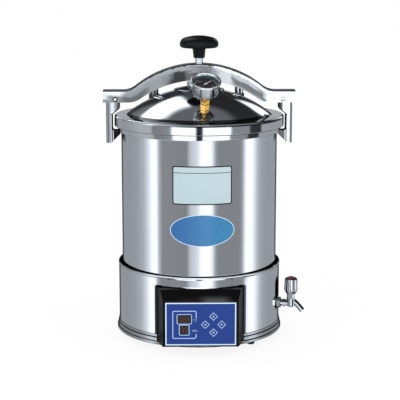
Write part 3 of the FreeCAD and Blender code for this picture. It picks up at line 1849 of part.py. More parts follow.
def housing_form(name, inset):
    """Solid form of the control box, or of its hollow when inset."""
    front = panel_front - inset
    back = panel_front - s.housing_back * 0.5
    low = s.panel_low + inset
    side = prism(
        name + "_side",
        "YZ_Plane",
        [
            [
                (-back, low),
                (-back, s.housing_top - inset),
                (-(panel_front - s.housing_slope_depth) + inset, s.housing_top - inset),
                (-front, s.panel_top - inset * 0.5),
                (-front, low),
            ]
        ],
        length=2 * s.housing_half_width,
        both_ways=True,
    )
    width = s.panel_half_width - inset
    wide = s.housing_half_width - inset
    flare = panel_front - s.housing_flare_depth
    plan = prism(
        name + "_plan",
        "XY_Plane",
        [
            [
                (-width, -front),
                (width, -front),
                (wide, -flare),
                (wide, -back),
                (-wide, -back),
                (-wide, -flare),
            ]
        ],
        length=s.housing_top * 2,
    )
    return shared(name, side, plan)


def make_control_box():
    """Moulded control housing in the skirt's window, with its film, lenses, keys and board."""
    form = housing_form("housing_form", as_size(0))
    hollow = housing_form("housing_hollow", s.housing_wall)
    rounded = doc.addObject("Part::Fillet", "housing_rounded")
    rounded.Base = form
    front = -panel_front.number
    picks = []
    for number, edge in enumerate(form.Shape.Edges, start=1):
        box = edge.BoundBox
        at_front = abs(box.YMin - front) < 0.01 and abs(box.YMax - front) < 0.01
        if at_front:
            radius = s.housing_round.number
            picks.append((number, radius, radius))
    rounded.Edges = picks
    doc.recompute()
    shell = cut("housing_shell", rounded, hollow)
    vessel = cylinder(
        "housing_vessel_room",
        s.barrel_radius + s.housing_vessel_gap,
        s.mouth_height,
        (0, 0, s.barrel_floor - 2 * s.housing_vessel_gap),
    )
    shell = cut("housing_cleared", shell, vessel)
    back = panel_front - s.housing_wall
    bosses = [shell]
    board_front = back - s.board_depth
    number = 0
    for x in (-s.board_half_width + s.boss_inset, s.board_half_width - s.boss_inset):
        for z in (s.board_low + s.boss_inset, s.board_high - s.boss_inset):
            boss = prism(
                f"board_boss_{number}",
                "XZ_Plane",
                circles=[(x, z, s.boss_radius)],
                length=s.board_depth + 0.5,
                start=board_front,
            )
            bosses.append(boss)
            number += 1
    shell = joined("housing_bossed", bosses)
    gap = s.key_gap
    holes = [diamond(x, z, s.key_half_diagonal + gap) for x, z in key_places().values()]
    holes += display_windows()
    tool = prism(
        "panel_holes",
        "XZ_Plane",
        holes,
        length=s.housing_wall + 2,
        start=back - 1,
    )
    keep(cut("control_housing", shell, tool))

    film = prism(
        "control_film",
        "XZ_Plane",
        [
            rounded_rectangle(
                -s.film_half_width, s.film_low, s.film_half_width, s.film_high, s.film_corner
            )
        ]
        + holes,
        length=s.film_thickness,
        start=panel_front,
    )
    keep(film)
    face = panel_front + s.film_thickness
    lens_back = face - s.lens_sunk - s.lens_thickness
    keep(
        prism(
            "display_windows",
            "XZ_Plane",
            display_windows(),
            length=s.lens_thickness,
            start=lens_back,
        )
    )
    keep(
        prism(
            "display_modules",
            "XZ_Plane",
            [
                rectangle(
                    s.display_left + 0.5, s.display_mid + 0.5, s.display_right - 0.5, s.display_high - 0.5
                ),
                rectangle(s.timer_left + 0.5, s.timer_low + 0.5, s.timer_right - 0.5, s.timer_high - 0.5),
            ],
            length=lens_back - board_front,
            start=board_front,
        )
    )
    for name, (x, z) in key_places().items():
        keep(
            prism(
                name,
                "XZ_Plane",
                [diamond(x, z, s.key_half_diagonal)],
                length=s.key_length,
                start=face + s.key_proud - s.key_length,
            )
        )
    board = prism(
        "board_plate",
        "XZ_Plane",
        [rectangle(-s.board_half_width, s.board_low, s.board_half_width, s.board_high)],
        length=s.board_thickness,
        start=board_front - s.board_thickness,
    )
    switch_front = face + s.key_proud - s.key_length - s.switch_gap
    switches = [board]
    for number, (x, z) in enumerate(key_places().values()):
        half = s.switch_half
        switches.append(
            block(
                f"switch_{number}",
                (x - half, -switch_front, z - half),
                (x + half, -board_front, z + half),
            )
        )
    keep(joined("control_board", switches))


def make_inlet():
    """Mains inlet in the back of the skirt, with its three blades."""
    outer = skirt_radius + s.inlet_proud
    body = block(
        "inlet_block",
        (-s.inlet_half_width, outer - s.inlet_depth, s.inlet_height - s.inlet_half_height),
        (s.inlet_half_width, outer, s.inlet_height + s.inlet_half_height),
    )
    mouth = block(
        "inlet_mouth",
        (
            -s.inlet_mouth_half_width,
            outer - s.inlet_mouth_depth,
            s.inlet_height - s.inlet_mouth_half_height,
        ),
        (s.inlet_mouth_half_width, outer + 5, s.inlet_height + s.inlet_mouth_half_height),
    )
    keep(cut("power_inlet", body, mouth))
    blades = []
    low = outer - s.inlet_mouth_depth
    for number, (column, lift) in enumerate(((-1, -0.25), (0, 0.25), (1, -0.25))):
        x = column * s.inlet_pin_spread
        z = s.inlet_height + lift * s.inlet_mouth_half_height
        blades.append(
            block(
                f"inlet_blade_{number}",
                (x - s.inlet_pin_half_width, low, z - s.inlet_pin_half_height),
                (x + s.inlet_pin_half_width, low + s.inlet_pin_length, z + s.inlet_pin_half_height),
            )
        )
    keep(group("inlet_blades", blades))


make_feet()
make_base()
make_skirt()
make_vessel()
make_heater()
make_load()
make_drain()
make_tap()
make_control_box()
make_inlet()
make_lid()
make_screw()
make_yoke()
make_hook("hook_left", -1)
make_hook("hook_right", 1)
make_gauge()
make_safety_valve()
make_exhaust_valve()

doc.recompute()
for item in doc.Objects:
    if "Invalid" in item.State or "Error" in item.State:
        raise RuntimeError(f"{item.Label} did not compute: {item.State}")
for node in nodes:
    if node.Shape.isNull() or not node.Shape.isValid():
        raise RuntimeError(f"{node.Label} has no valid shape")

os.makedirs("parts", exist_ok=True)
for node in nodes:
    node.Shape.exportStep(f"parts/{node.Label}.step")
    print(node.Label, len(node.Shape.Solids), round(node.Shape.Volume, 1))
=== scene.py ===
import math

import bmesh
import bpy
from mathutils import Matrix, Vector


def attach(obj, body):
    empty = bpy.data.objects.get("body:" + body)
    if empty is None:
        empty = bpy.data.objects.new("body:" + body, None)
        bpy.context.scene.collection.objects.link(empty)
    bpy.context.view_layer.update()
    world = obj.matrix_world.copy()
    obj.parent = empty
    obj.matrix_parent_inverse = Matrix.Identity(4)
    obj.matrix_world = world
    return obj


# Portable autoclave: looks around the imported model, in metres, in the model's frame
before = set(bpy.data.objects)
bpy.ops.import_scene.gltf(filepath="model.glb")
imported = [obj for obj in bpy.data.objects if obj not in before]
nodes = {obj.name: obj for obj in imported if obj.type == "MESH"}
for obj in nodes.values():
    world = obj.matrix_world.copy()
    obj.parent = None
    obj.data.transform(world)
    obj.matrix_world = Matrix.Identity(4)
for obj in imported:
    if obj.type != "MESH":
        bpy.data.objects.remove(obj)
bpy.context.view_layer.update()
MM = 0.001


# Helpers for node materials
def new_material(name):
    material = bpy.data.materials.new(name)
    material.use_nodes = True
    return material, material.node_tree.nodes, material.node_tree.links


def add_coordinates(tree, stretch=(1, 1, 1)):
    """Object coordinates, stretched along the axes."""
    place = tree.nodes.new("ShaderNodeTexCoord")
    mapping = tree.nodes.new("ShaderNodeMapping")
    mapping.inputs["Scale"].default_value = stretch
    tree.links.new(place.outputs["Object"], mapping.inputs["Vector"])
    return mapping.outputs["Vector"]


def add_noise(tree, vector, scale, detail=4.0, roughness=0.55):
    noise = tree.nodes.new("ShaderNodeTexNoise")
    noise.inputs["Scale"].default_value = scale
    noise.inputs["Detail"].default_value = detail
    noise.inputs["Roughness"].default_value = roughness
    tree.links.new(vector, noise.inputs["Vector"])
    return noise.outputs["Fac"]


def add_range(tree, value, low, high, from_low=0.3, from_high=0.7):
    """Turn a noise value into a range of numbers."""
    node = tree.nodes.new("ShaderNodeMapRange")
    node.inputs["From Min"].default_value = from_low
    node.inputs["From Max"].default_value = from_high
    node.inputs["To Min"].default_value = low
    node.inputs["To Max"].default_value = high
    tree.links.new(value, node.inputs["Value"])
    return node.outputs["Result"]


def add_blend(tree, factor, first, second):
    node = tree.nodes.new("ShaderNodeMix")
    node.data_type = "RGBA"
    node.inputs["A"].default_value = (*first, 1)
    node.inputs["B"].default_value = (*second, 1)
    tree.links.new(factor, node.inputs["Factor"])
    return node.outputs["Result"]


def add_bump(tree, height, strength, distance):
    node = tree.nodes.new("ShaderNodeBump")
    node.inputs["Strength"].default_value = strength
    node.inputs["Distance"].default_value = distance
    tree.links.new(height, node.inputs["Height"])
    return node.outputs["Normal"]


def add_math(tree, operation, first, second=None, third=None):
    node = tree.nodes.new("ShaderNodeMath")
    node.operation = operation
    for socket, value in zip(node.inputs, (first, second, third)):
        if value is None:
            continue
        if isinstance(value, (int, float)):
            socket.default_value = value
        else:
            tree.links.new(value, socket)
    return node.outputs[0]


def add_ramp(tree, factor, low, high, stops):
    """Grey levels, at most 2, along a value that runs from low to high."""
    share = add_range(tree, factor, 0.0, 1.0, low, high)
    node = tree.nodes.new("ShaderNodeValToRGB")
    ramp = node.color_ramp
    while len(ramp.elements) > 1:
        ramp.elements.remove(ramp.elements[-1])
    for index, (spot, level) in enumerate(stops):
        position = (spot - low) / (high - low)
        element = ramp.elements[0] if index == 0 else ramp.elements.new(position)
        element.position = position
        element.color = (level / 2, level / 2, level / 2, 1)
    tree.links.new(share, node.inputs["Fac"])
    return add_math(tree, "MULTIPLY", node.outputs["Color"], 2.0)


def add_mix(tree, factor, first, second):
    """Blend two numbers by a third."""
    difference = add_math(tree, "SUBTRACT", second, first)
    return add_math(tree, "MULTIPLY_ADD", difference, factor, first)


def split_vector(tree, vector):
    node = tree.nodes.new("ShaderNodeSeparateXYZ")
    tree.links.new(vector, node.inputs["Vector"])
    return node.outputs["X"], node.outputs["Y"], node.outputs["Z"]


def surface_normal(tree):
    return tree.nodes.new("ShaderNodeNewGeometry").outputs["Normal"]


def tint(tree, level, colour):
    """A colour times a grey level."""
    node = tree.nodes.new("ShaderNodeVectorMath")
    node.operation = "SCALE"
    node.inputs[0].default_value = colour
    tree.links.new(level, node.inputs["Scale"])
    return node.outputs["Vector"]


def add_smooth(tree, value, low, high):
    """Rises from 0 to 1 as the value goes from low to high."""
    node = tree.nodes.new("ShaderNodeMapRange")
    node.interpolation_type = "SMOOTHSTEP"
    node.inputs["From Min"].default_value = low
    node.inputs["From Max"].default_value = high
    tree.links.new(value, node.inputs["Value"])
    return node.outputs["Result"]


def add_window(tree, value, low, high, soft):
    """1 between low and high, 0 outside, with soft edges."""
    rise = add_smooth(tree, value, low - soft, low + soft)
    fall = add_smooth(tree, value, high - soft, high + soft)
    return add_math(tree, "MULTIPLY", rise, add_math(tree, "SUBTRACT", 1.0, fall))


def make_surface(name, colour, other, metallic, rough, stretch, scale, bump, depth=0.0002, gloss=0.5):
    """A surface whose colour, roughness and relief follow one stretched grain."""
    material, tree_nodes, links = new_material(name)
    tree = material.node_tree
    shader = tree_nodes["Principled BSDF"]
    vector = add_coordinates(tree, stretch)
    grain = add_noise(tree, vector, scale)
    broad = add_noise(tree, add_coordinates(tree), 9.0, 2.0)
    shade = add_range(tree, broad, 0.0, 1.0)
    links.new(add_blend(tree, shade, colour, other), shader.inputs["Base Color"])
    links.new(add_range(tree, grain, rough[0], rough[1]), shader.inputs["Roughness"])
    shader.inputs["Metallic"].default_value = metallic
    shader.inputs["Specular IOR Level"].default_value = gloss
    if bump:
        links.new(add_bump(tree, grain, bump, depth), shader.inputs["Normal"])
    return material


def make_thread(name, colour, pitch):
    """Machined steel with a helical thread as relief, painted shade in its grooves and painted darker on faces turned
    to the sides.
    """
    material, tree_nodes, links = new_material(name)
    tree = material.node_tree
    shader = tree_nodes["Principled BSDF"]
    place = tree_nodes.new("ShaderNodeTexCoord")
    split = tree_nodes.new("ShaderNodeSeparateXYZ")
    links.new(place.outputs["Object"], split.inputs["Vector"])
    angle = tree_nodes.new("ShaderNodeMath")
    angle.operation = "ARCTAN2"
    links.new(split.outputs["Y"], angle.inputs[0])
    links.new(split.outputs["X"], angle.inputs[1])
    rise = tree_nodes.new("ShaderNodeMath")
    rise.operation = "MULTIPLY_ADD"
    rise.inputs[1].default_value = 2 * math.pi / pitch
    links.new(split.outputs["Z"], rise.inputs[0])
    links.new(angle.outputs[0], rise.inputs[2])
    wave = tree_nodes.new("ShaderNodeMath")
    wave.operation = "SINE"
    links.new(rise.outputs[0], wave.inputs[0])
    links.new(add_bump(tree, wave.outputs[0], 0.35, 0.0002), shader.inputs["Normal"])
    # Painted shade in the thread's grooves
    dark = add_range(tree, wave.outputs[0], 1.0, 0.0, -1.0, 0.3)
    # Painted shade on faces turned to the sides
    across = split_vector(tree, surface_normal(tree))[0]
    edge = add_smooth(tree, add_math(tree, "ABSOLUTE", across), 0.6, 0.85)
    level = add_math(tree, "MULTIPLY", add_mix(tree, dark, 0.95, 0.8), add_mix(tree, edge, 1.0, 0.25))
    links.new(tint(tree, level, colour), shader.inputs["Base Color"])
    links.new(
        add_range(tree, add_noise(tree, add_coordinates(tree), 400), 0.2, 0.4),
        shader.inputs["Roughness"],
    )
    shader.inputs["Metallic"].default_value = 1.0
    return material


# Metals
MIRROR = make_surface(
    "polished_barrel", (0.77, 0.77, 0.78), (0.75, 0.75, 0.76), 1.0, (0.04, 0.08), (1, 1, 14), 40, 0.01
)
DOME = make_surface(
    "polished_dome", (0.76, 0.76, 0.77), (0.72, 0.72, 0.73), 1.0, (0.05, 0.11), (1, 1, 1), 60, 0.01
)
SATIN = make_surface(
    "satin_skirt", (0.77, 0.77, 0.78), (0.74, 0.74, 0.75), 1.0, (0.08, 0.12), (1, 1, 30), 60, 0.012
)
INNER = make_surface(
    "inner_steel", (0.6, 0.6, 0.6), (0.52, 0.52, 0.52), 1.0, (0.25, 0.4), (1, 1, 20), 80, 0.05
)
STEEL = make_surface(
    "machined_steel", (0.6, 0.6, 0.6), (0.5, 0.5, 0.5), 1.0, (0.2, 0.32), (1, 1, 1), 200, 0.08
)
CHROME = make_surface(
    "chrome", (0.82, 0.82, 0.83), (0.78, 0.78, 0.8), 1.0, (0.04, 0.09), (1, 1, 1), 150, 0.01
)
BRASS = make_surface(
    "brass", (0.83, 0.55, 0.18), (0.72, 0.45, 0.13), 1.0, (0.14, 0.26), (1, 1, 1), 260, 0.05
)
SHEATH = make_surface(
    "heater_sheath", (0.3, 0.28, 0.26), (0.18, 0.17, 0.16), 1.0, (0.35, 0.5), (1, 1, 1), 120, 0.1
)
THREAD = make_thread("threaded_steel", (1.0, 1.0, 1.0), 0.003)

def leaning_normal(tree, lean):
    """Normals of upright faces lean down a little, so they mirror what lies low in the studio."""
    normal = surface_normal(tree)
    up = split_vector(tree, normal)[2]
    upright = add_math(tree, "SUBTRACT", 1.0, add_smooth(tree, add_math(tree, "ABSOLUTE", up), 0.3, 0.6))
    shift = tree.nodes.new("ShaderNodeCombineXYZ")
    tree.links.new(add_math(tree, "MULTIPLY", upright, -lean), shift.inputs["Z"])
    joined = tree.nodes.new("ShaderNodeVectorMath")
    joined.operation = "ADD"
    tree.links.new(normal, joined.inputs[0])
    tree.links.new(shift.outputs[0], joined.inputs[1])
    unit = tree.nodes.new("ShaderNodeVectorMath")
    unit.operation = "NORMALIZE"
    tree.links.new(joined.outputs[0], unit.inputs[0])
    return unit.outputs[0], up


def object_place(tree):
    place = tree.nodes.new("ShaderNodeTexCoord")
    return split_vector(tree, place.outputs["Object"])


def make_rim(name, colour, lean):
    """Turned steel with painted light: a painted shadow line in the seam, a painted dark reflection along the top
    edge, and a flat top painted darker towards the front.
    """
    material, tree_nodes, links = new_material(name)
    tree = material.node_tree
    shader = tree_nodes["Principled BSDF"]
    normal, up = leaning_normal(tree, lean)
    links.new(normal, shader.inputs["Normal"])
    across, along, height = object_place(tree)
    grain = add_noise(tree, add_coordinates(tree, (1, 1, 30)), 50)
    level = add_range(tree, grain, 0.96, 1.04)
    # Painted reflection on the flat top: darker towards the front, lighter towards the back
    towards_back = add_smooth(tree, along, -0.14, -0.05)
    top = add_mix(tree, towards_back, 0.28, 0.68)
    level = add_mix(tree, add_smooth(tree, up, 0.8, 0.95), level, top)
    # Painted dark reflection along the top edge, except on the left side
    edge = add_window(tree, height, 0.4292, 0.4324, 0.0006)
    edge_dark = add_mix(tree, add_smooth(tree, across, -0.1, -0.01), 1.0, 0.06)
    level = add_mix(tree, edge, level, add_math(tree, "MULTIPLY", level, edge_dark))
    # Painted shadow line in the seam between ring and flange
    seam = add_window(tree, height, 0.4126, 0.4146, 0.0003)
    level = add_mix(tree, seam, level, 0.08)
    links.new(tint(tree, level, colour), shader.inputs["Base Color"])
    links.new(add_range(tree, grain, 0.05, 0.09), shader.inputs["Roughness"])
    shader.inputs["Metallic"].default_value = 1.0
    return material


def facing_normal(tree, share, front):
    """Normals of a thin rolled edge, drawn together towards one direction."""
    scaled = tree.nodes.new("ShaderNodeVectorMath")
    scaled.operation = "SCALE"
    tree.links.new(surface_normal(tree), scaled.inputs[0])
    scaled.inputs["Scale"].default_value = share
    joined = tree.nodes.new("ShaderNodeVectorMath")
    joined.operation = "ADD"
    tree.links.new(scaled.outputs[0], joined.inputs[0])
    joined.inputs[1].default_value = front
    unit = tree.nodes.new("ShaderNodeVectorMath")
    unit.operation = "NORMALIZE"
    tree.links.new(joined.outputs[0], unit.inputs[0])
    return unit.outputs[0]


def make_lip(name, colour, lean, painted_top_level, painted_side_level=1.0, front=None):
    """Rolled steel edge that leans down, with a painted level of light on faces that look up and painted shade at its
    sides.
    """
    material, tree_nodes, links = new_material(name)
    tree = material.node_tree
    shader = tree_nodes["Principled BSDF"]
    normal, up = leaning_normal(tree, lean)
    if front:
        normal = facing_normal(tree, 0.35, front)
    links.new(normal, shader.inputs["Normal"])
    grain = add_noise(tree, add_coordinates(tree), 90)
    # Painted light level on faces that look up
    level = add_mix(tree, add_smooth(tree, up, 0.7, 0.9), add_range(tree, grain, 0.95, 1.05), painted_top_level)
    # Painted shade on the sides, beyond a reach across
    reach = add_math(tree, "ABSOLUTE", object_place(tree)[0])
    level = add_math(tree, "MULTIPLY", level, add_mix(tree, add_smooth(tree, reach, 0.069, 0.074), 1.0, painted_side_level))
    links.new(tint(tree, level, colour), shader.inputs["Base Color"])
    links.new(add_range(tree, grain, 0.08, 0.14), shader.inputs["Roughness"])
    shader.inputs["Metallic"].default_value = 1.0
    return material


def make_banded(name, stops, rough=(0.1, 0.18), colour=(1.0, 1.0, 1.02), upward=None):
    """Polished metal with painted reflections: light and dark bands that follow the way the surface faces."""
    material, tree_nodes, links = new_material(name)
    tree = material.node_tree
    shader = tree_nodes["Principled BSDF"]
    across, along, up = split_vector(tree, surface_normal(tree))
    level = add_ramp(tree, across, -1.0, 1.0, stops)
    if upward:
        level = add_math(tree, "MULTIPLY", level, add_ramp(tree, up, -1.0, 1.0, upward))
    grain = add_noise(tree, add_coordinates(tree), 260)
    level = add_math(tree, "MULTIPLY", level, add_range(tree, grain, 0.94, 1.06))
    links.new(tint(tree, level, colour), shader.inputs["Base Color"])
    links.new(add_range(tree, grain, rough[0], rough[1]), shader.inputs["Roughness"])
    shader.inputs["Metallic"].default_value = 1.0
    return material


def paint_over(material, factor, colour):
    """Paint one colour over a surface by a factor from 0 to 1."""
    tree = material.node_tree
    shader = tree.nodes["Principled BSDF"]
    mix = tree.nodes.new("ShaderNodeMix")
    mix.data_type = "RGBA"
    mix.inputs["B"].default_value = (*colour, 1)
    tree.links.new(shader.inputs["Base Color"].links[0].from_socket, mix.inputs["A"])
    tree.links.new(factor, mix.inputs["Factor"])
    tree.links.new(mix.outputs["Result"], shader.inputs["Base Color"])


def paint_shade_band(material, low, high, level):
    """A painted line of shade round a surface between two heights."""
    tree = material.node_tree
    band = add_window(tree, object_place(tree)[2], low, high, 0.0005)
    paint_over(material, band, (level, level, level))


def paint_highlight_patch(material, across, height, colour):
    """A painted highlight: a soft lighter patch on the front, from two windows of low, high and softness."""
    tree = material.node_tree
    x, y, z = object_place(tree)
    factor = add_math(tree, "MULTIPLY", add_window(tree, x, *across), add_window(tree, z, *height))
    paint_over(material, factor, colour)


def paint_glass_edge_reflection(material, middle, axis, radius, start, colour):
    """Paint a reflection of the cover's green glass edge on the inside of the gauge case, within a radius of its axis.
    """
    tree = material.node_tree
    place = tree.nodes.new("ShaderNodeTexCoord")
    offset = tree.nodes.new("ShaderNodeVectorMath")
    offset.operation = "SUBTRACT"
    tree.links.new(place.outputs["Object"], offset.inputs[0])
    offset.inputs[1].default_value = middle
    cross = tree.nodes.new("ShaderNodeVectorMath")
    cross.operation = "CROSS_PRODUCT"
    tree.links.new(offset.outputs[0], cross.inputs[0])
    cross.inputs[1].default_value = axis
    length = tree.nodes.new("ShaderNodeVectorMath")
    length.operation = "LENGTH"
    tree.links.new(cross.outputs[0], length.inputs[0])
    along = tree.nodes.new("ShaderNodeVectorMath")
    along.operation = "DOT_PRODUCT"
    tree.links.new(offset.outputs[0], along.inputs[0])
    along.inputs[1].default_value = axis
    near = add_math(tree, "LESS_THAN", length.outputs["Value"], radius)
    over = add_math(tree, "GREATER_THAN", along.outputs["Value"], start)
    inside = add_math(tree, "MULTIPLY", near, over)
    paint_over(material, inside, colour)
    metallic = tree.nodes["Principled BSDF"].inputs["Metallic"]
    tree.links.new(add_math(tree, "SUBTRACT", 1.0, inside), metallic)


def make_yoke():
    """Cast and buffed beam with painted reflections: light and dark patches that follow the arch, and top faces
    painted dark.
    """
    material, tree_nodes, links = new_material("cast_painted_reflections")
    tree = material.node_tree
    shader = tree_nodes["Principled BSDF"]
    place = tree_nodes.new("ShaderNodeTexCoord")
    across, along, height = split_vector(tree, place.outputs["Object"])
    coarse = add_noise(tree, add_coordinates(tree), 70, 5.0, 0.65)
    fine = add_noise(tree, add_coordinates(tree, (1, 2, 2)), 420, 4.0, 0.7)
    wander = add_range(tree, coarse, -0.006, 0.006)
    x = add_math(tree, "ADD", across, wander)
    reach = add_math(tree, "ABSOLUTE", across)
    square = add_math(tree, "MULTIPLY", across, across)
    under = add_math(tree, "MAXIMUM", add_math(tree, "SUBTRACT", ARCH_RADIUS ** 2, square), 0.0)
    arch = add_math(tree, "ADD", add_math(tree, "SQRT", under), ARCH_CENTRE)
    top = add_math(tree, "MAXIMUM", arch, YOKE_END_TOP)
    depth = add_math(tree, "SUBTRACT", top, height)
    thick = add_mix(tree, add_smooth(tree, reach, 0.115, 0.14), YOKE_MIDDLE_DEPTH, YOKE_END_DEPTH)
    share = add_math(tree, "DIVIDE", depth, thick)
    share = add_math(tree, "ADD", share, add_range(tree, coarse, -0.07, 0.07))
    level = add_math(tree, "ADD", 0.33, 0.0)
    # Painted reflections: light and dark patches across the beam and down its depth
    for (low, high, soft), (first, last, edge), target in YOKE_REFLECTION_PATCHES:
        place_x = add_window(tree, x, low, high, soft)
        place_z = add_window(tree, share, first, last, edge)
        level = add_mix(tree, add_math(tree, "MULTIPLY", place_x, place_z), level, target)
    level = add_math(tree, "MULTIPLY", level, add_range(tree, fine, 0.78, 1.22))
    # Painted dark reflection on the top faces
    up = split_vector(tree, surface_normal(tree))[2]
    level = add_mix(tree, add_smooth(tree, up, 0.45, 0.7), level, 0.045)
    level = add_math(tree, "MINIMUM", level, 0.97)
    links.new(tint(tree, level, (1.0, 1.0, 1.01)), shader.inputs["Base Color"])
    links.new(add_range(tree, fine, 0.18, 0.34), shader.inputs["Roughness"])
    shader.inputs["Metallic"].default_value = 1.0
    links.new(add_bump(tree, fine, 0.12, 0.0003), shader.inputs["Normal"])
    return material


def make_pin():
    """Hook pins with painted reflections: a bright centre in a dark ring on the left, plain bright on the right."""
    material, tree_nodes, links = new_material("pin_steel")
    tree = material.node_tree
    shader = tree_nodes["Principled BSDF"]
    across, along, height = object_place(tree)
    right = add_math(tree, "GREATER_THAN", across, 0.0)
    side = add_math(tree, "ADD", across, PIN_REACH)
    rise = add_math(tree, "SUBTRACT", height, PIN_HEIGHT)
    square = add_math(tree, "MULTIPLY", rise, rise)
    reach = add_math(tree, "SQRT", add_math(tree, "MULTIPLY_ADD", side, side, square))
    # Painted reflection: a bright centre in a dark ring on the left pin, plain bright on the right
    left = add_mix(tree, add_smooth(tree, reach, 0.0022, 0.003), 0.95, 0.03)
    grain = add_noise(tree, add_coordinates(tree), 300)
    level = add_math(tree, "MULTIPLY", add_mix(tree, right, left, 0.95), add_range(tree, grain, 0.96, 1.04))
    links.new(tint(tree, level, (1.0, 1.0, 1.0)), shader.inputs["Base Color"])
    links.new(add_range(tree, grain, 0.2, 0.3), shader.inputs["Roughness"])
    shader.inputs["Metallic"].default_value = 1.0
    return material


def make_hook(name, strip_start, strip, neck_dark, neck_full, tooth):
    """Buffed hook plate with painted reflections and shade: grey outer strip, bright web, darker towards the vessel,
    and painted shade in the notch, along the slanted edge and on the tooth.
    """
    material, tree_nodes, links = new_material(name)
    tree = material.node_tree
    shader = tree_nodes["Principled BSDF"]
    place = tree_nodes.new("ShaderNodeTexCoord")
    across, along, height = split_vector(tree, place.outputs["Object"])
    reach = add_math(tree, "ABSOLUTE", across)
    # Painted reflections across the plate: dark near the vessel, bright web, grey outer strip
    level = add_ramp(
        tree,
        reach,
        0.15,
        0.19,
        [
            (0.15, 0.01),
            (0.154, 0.012),
            (0.157, neck_dark),
            (0.160, neck_dark * 2),
            (0.163, neck_full),
            (0.166, 0.9),
            (0.1665, 0.9),
            (strip_start - 0.001, 0.92),
            (strip_start, strip),
            (0.19, strip),
        ],
    )
    # Painted shade in the notch
    notch = add_window(tree, reach, 0.1675, 0.1697, 0.0003)
    below = add_math(tree, "SUBTRACT", 1.0, add_smooth(tree, height, 0.4345, 0.436))
    level = add_mix(tree, add_math(tree, "MULTIPLY", notch, below), level, 0.01)
    # Painted shade along the slanted edge of the tooth
    slant = add_math(tree, "ADD", add_math(tree, "MULTIPLY", reach, 0.64), add_math(tree, "MULTIPLY", height, 0.77))
    slant_edge = add_window(tree, slant, 0.441, 0.4442, 0.0004)
    above = add_smooth(tree, height, 0.4335, 0.4345)
    level = add_mix(tree, add_math(tree, "MULTIPLY", slant_edge, above), level, 0.01)
    # Painted shade on the tooth's face
    inner = add_math(tree, "SUBTRACT", 1.0, add_smooth(tree, reach, 0.1655, 0.1665))
    low = add_math(tree, "SUBTRACT", 1.0, add_smooth(tree, height, 0.414, 0.417))
    level = add_mix(tree, add_math(tree, "MULTIPLY", inner, low), level, tooth)
    grain = add_noise(tree, add_coordinates(tree, (1, 1, 3)), 240, 5.0, 0.65)
    level = add_math(tree, "MULTIPLY", level, add_range(tree, grain, 0.9, 1.1))
    links.new(tint(tree, add_math(tree, "MINIMUM", level, 0.97), (1.0, 1.0, 1.01)), shader.inputs["Base Color"])
    links.new(add_range(tree, grain, 0.16, 0.28), shader.inputs["Roughness"])
    shader.inputs["Metallic"].default_value = 1.0
    links.new(add_bump(tree, grain, 0.08, 0.0003), shader.inputs["Normal"])
    return material


# The yoke's arch in metres, and its painted reflection patches: across, share of the depth, grey level
ARCH_RADIUS = 0.196
ARCH_CENTRE = 0.3368
YOKE_END_TOP = 0.481
YOKE_MIDDLE_DEPTH = 0.031
YOKE_END_DEPTH = 0.023
YOKE_REFLECTION_PATCHES = (
    ((-0.3, 0.02, 0.01), (0.07, 0.3, 0.05), 0.38),
    ((0.028, 0.3, 0.006), (0.05, 0.28, 0.05), 0.86),
    ((-0.3, -0.148, 0.01), (0.0, 0.42, 0.1), 0.92),
    ((-0.3, -0.172, 0.004), (0.3, 0.75, 0.1), 0.85),
    ((-0.15, -0.1, 0.01), (0.55, 1.5, 0.1), 0.16),
    ((-0.03, 0.034, 0.008), (0.26, 0.58, 0.05), 0.48),
    ((-0.06, -0.02, 0.014), (0.34, 1.5, 0.08), 0.05),
    ((-0.012, 0.032, 0.008), (0.58, 1.5, 0.08), 0.045),
    ((0.034, 0.066, 0.006), (0.3, 1.5, 0.05), 0.62),
    ((0.066, 0.11, 0.006), (0.3, 0.55, 0.06), 0.5),
    ((0.066, 0.127, 0.007), (0.52, 0.88, 0.06), 0.17),
    ((0.127, 0.3, 0.004), (0.0, 1.5, 0.1), 0.97),
    ((-0.126, 0.07, 0.012), (-0.5, 0.07, 0.025), 0.03),
)
PIN_REACH = 0.162
PIN_HEIGHT = 0.4645
# Painted shade along the dome's foot, where it meets the ring
paint_shade_band(DOME, 0.43, 0.4385, 0.1)
YOKE = make_yoke()
PIN = make_pin()
HOOK_LEFT = make_hook("hook_left_painted_light", 0.1715, 0.38, 0.12, 0.5, 0.012)
HOOK_RIGHT = make_hook("hook_right_painted_light", 0.177, 0.26, 0.06, 0.9, 0.12)
RIM = make_rim("turned_rim", (0.77, 0.77, 0.78), 0.22)
# Pad: painted highlight on its top faces; trim: painted shade on its sides
PAD = make_lip("pressed_pad", (0.07, 0.07, 0.075), 0.0, 4.0)
BEZEL = make_lip("bezel_chrome", (0.95, 0.95, 0.96), 0.1, 1.0)
TRIM = make_lip("hemmed_lip", (0.92, 0.92, 0.93), 0.3, 0.9, 0.06, (0.15, -1.0, -0.35))
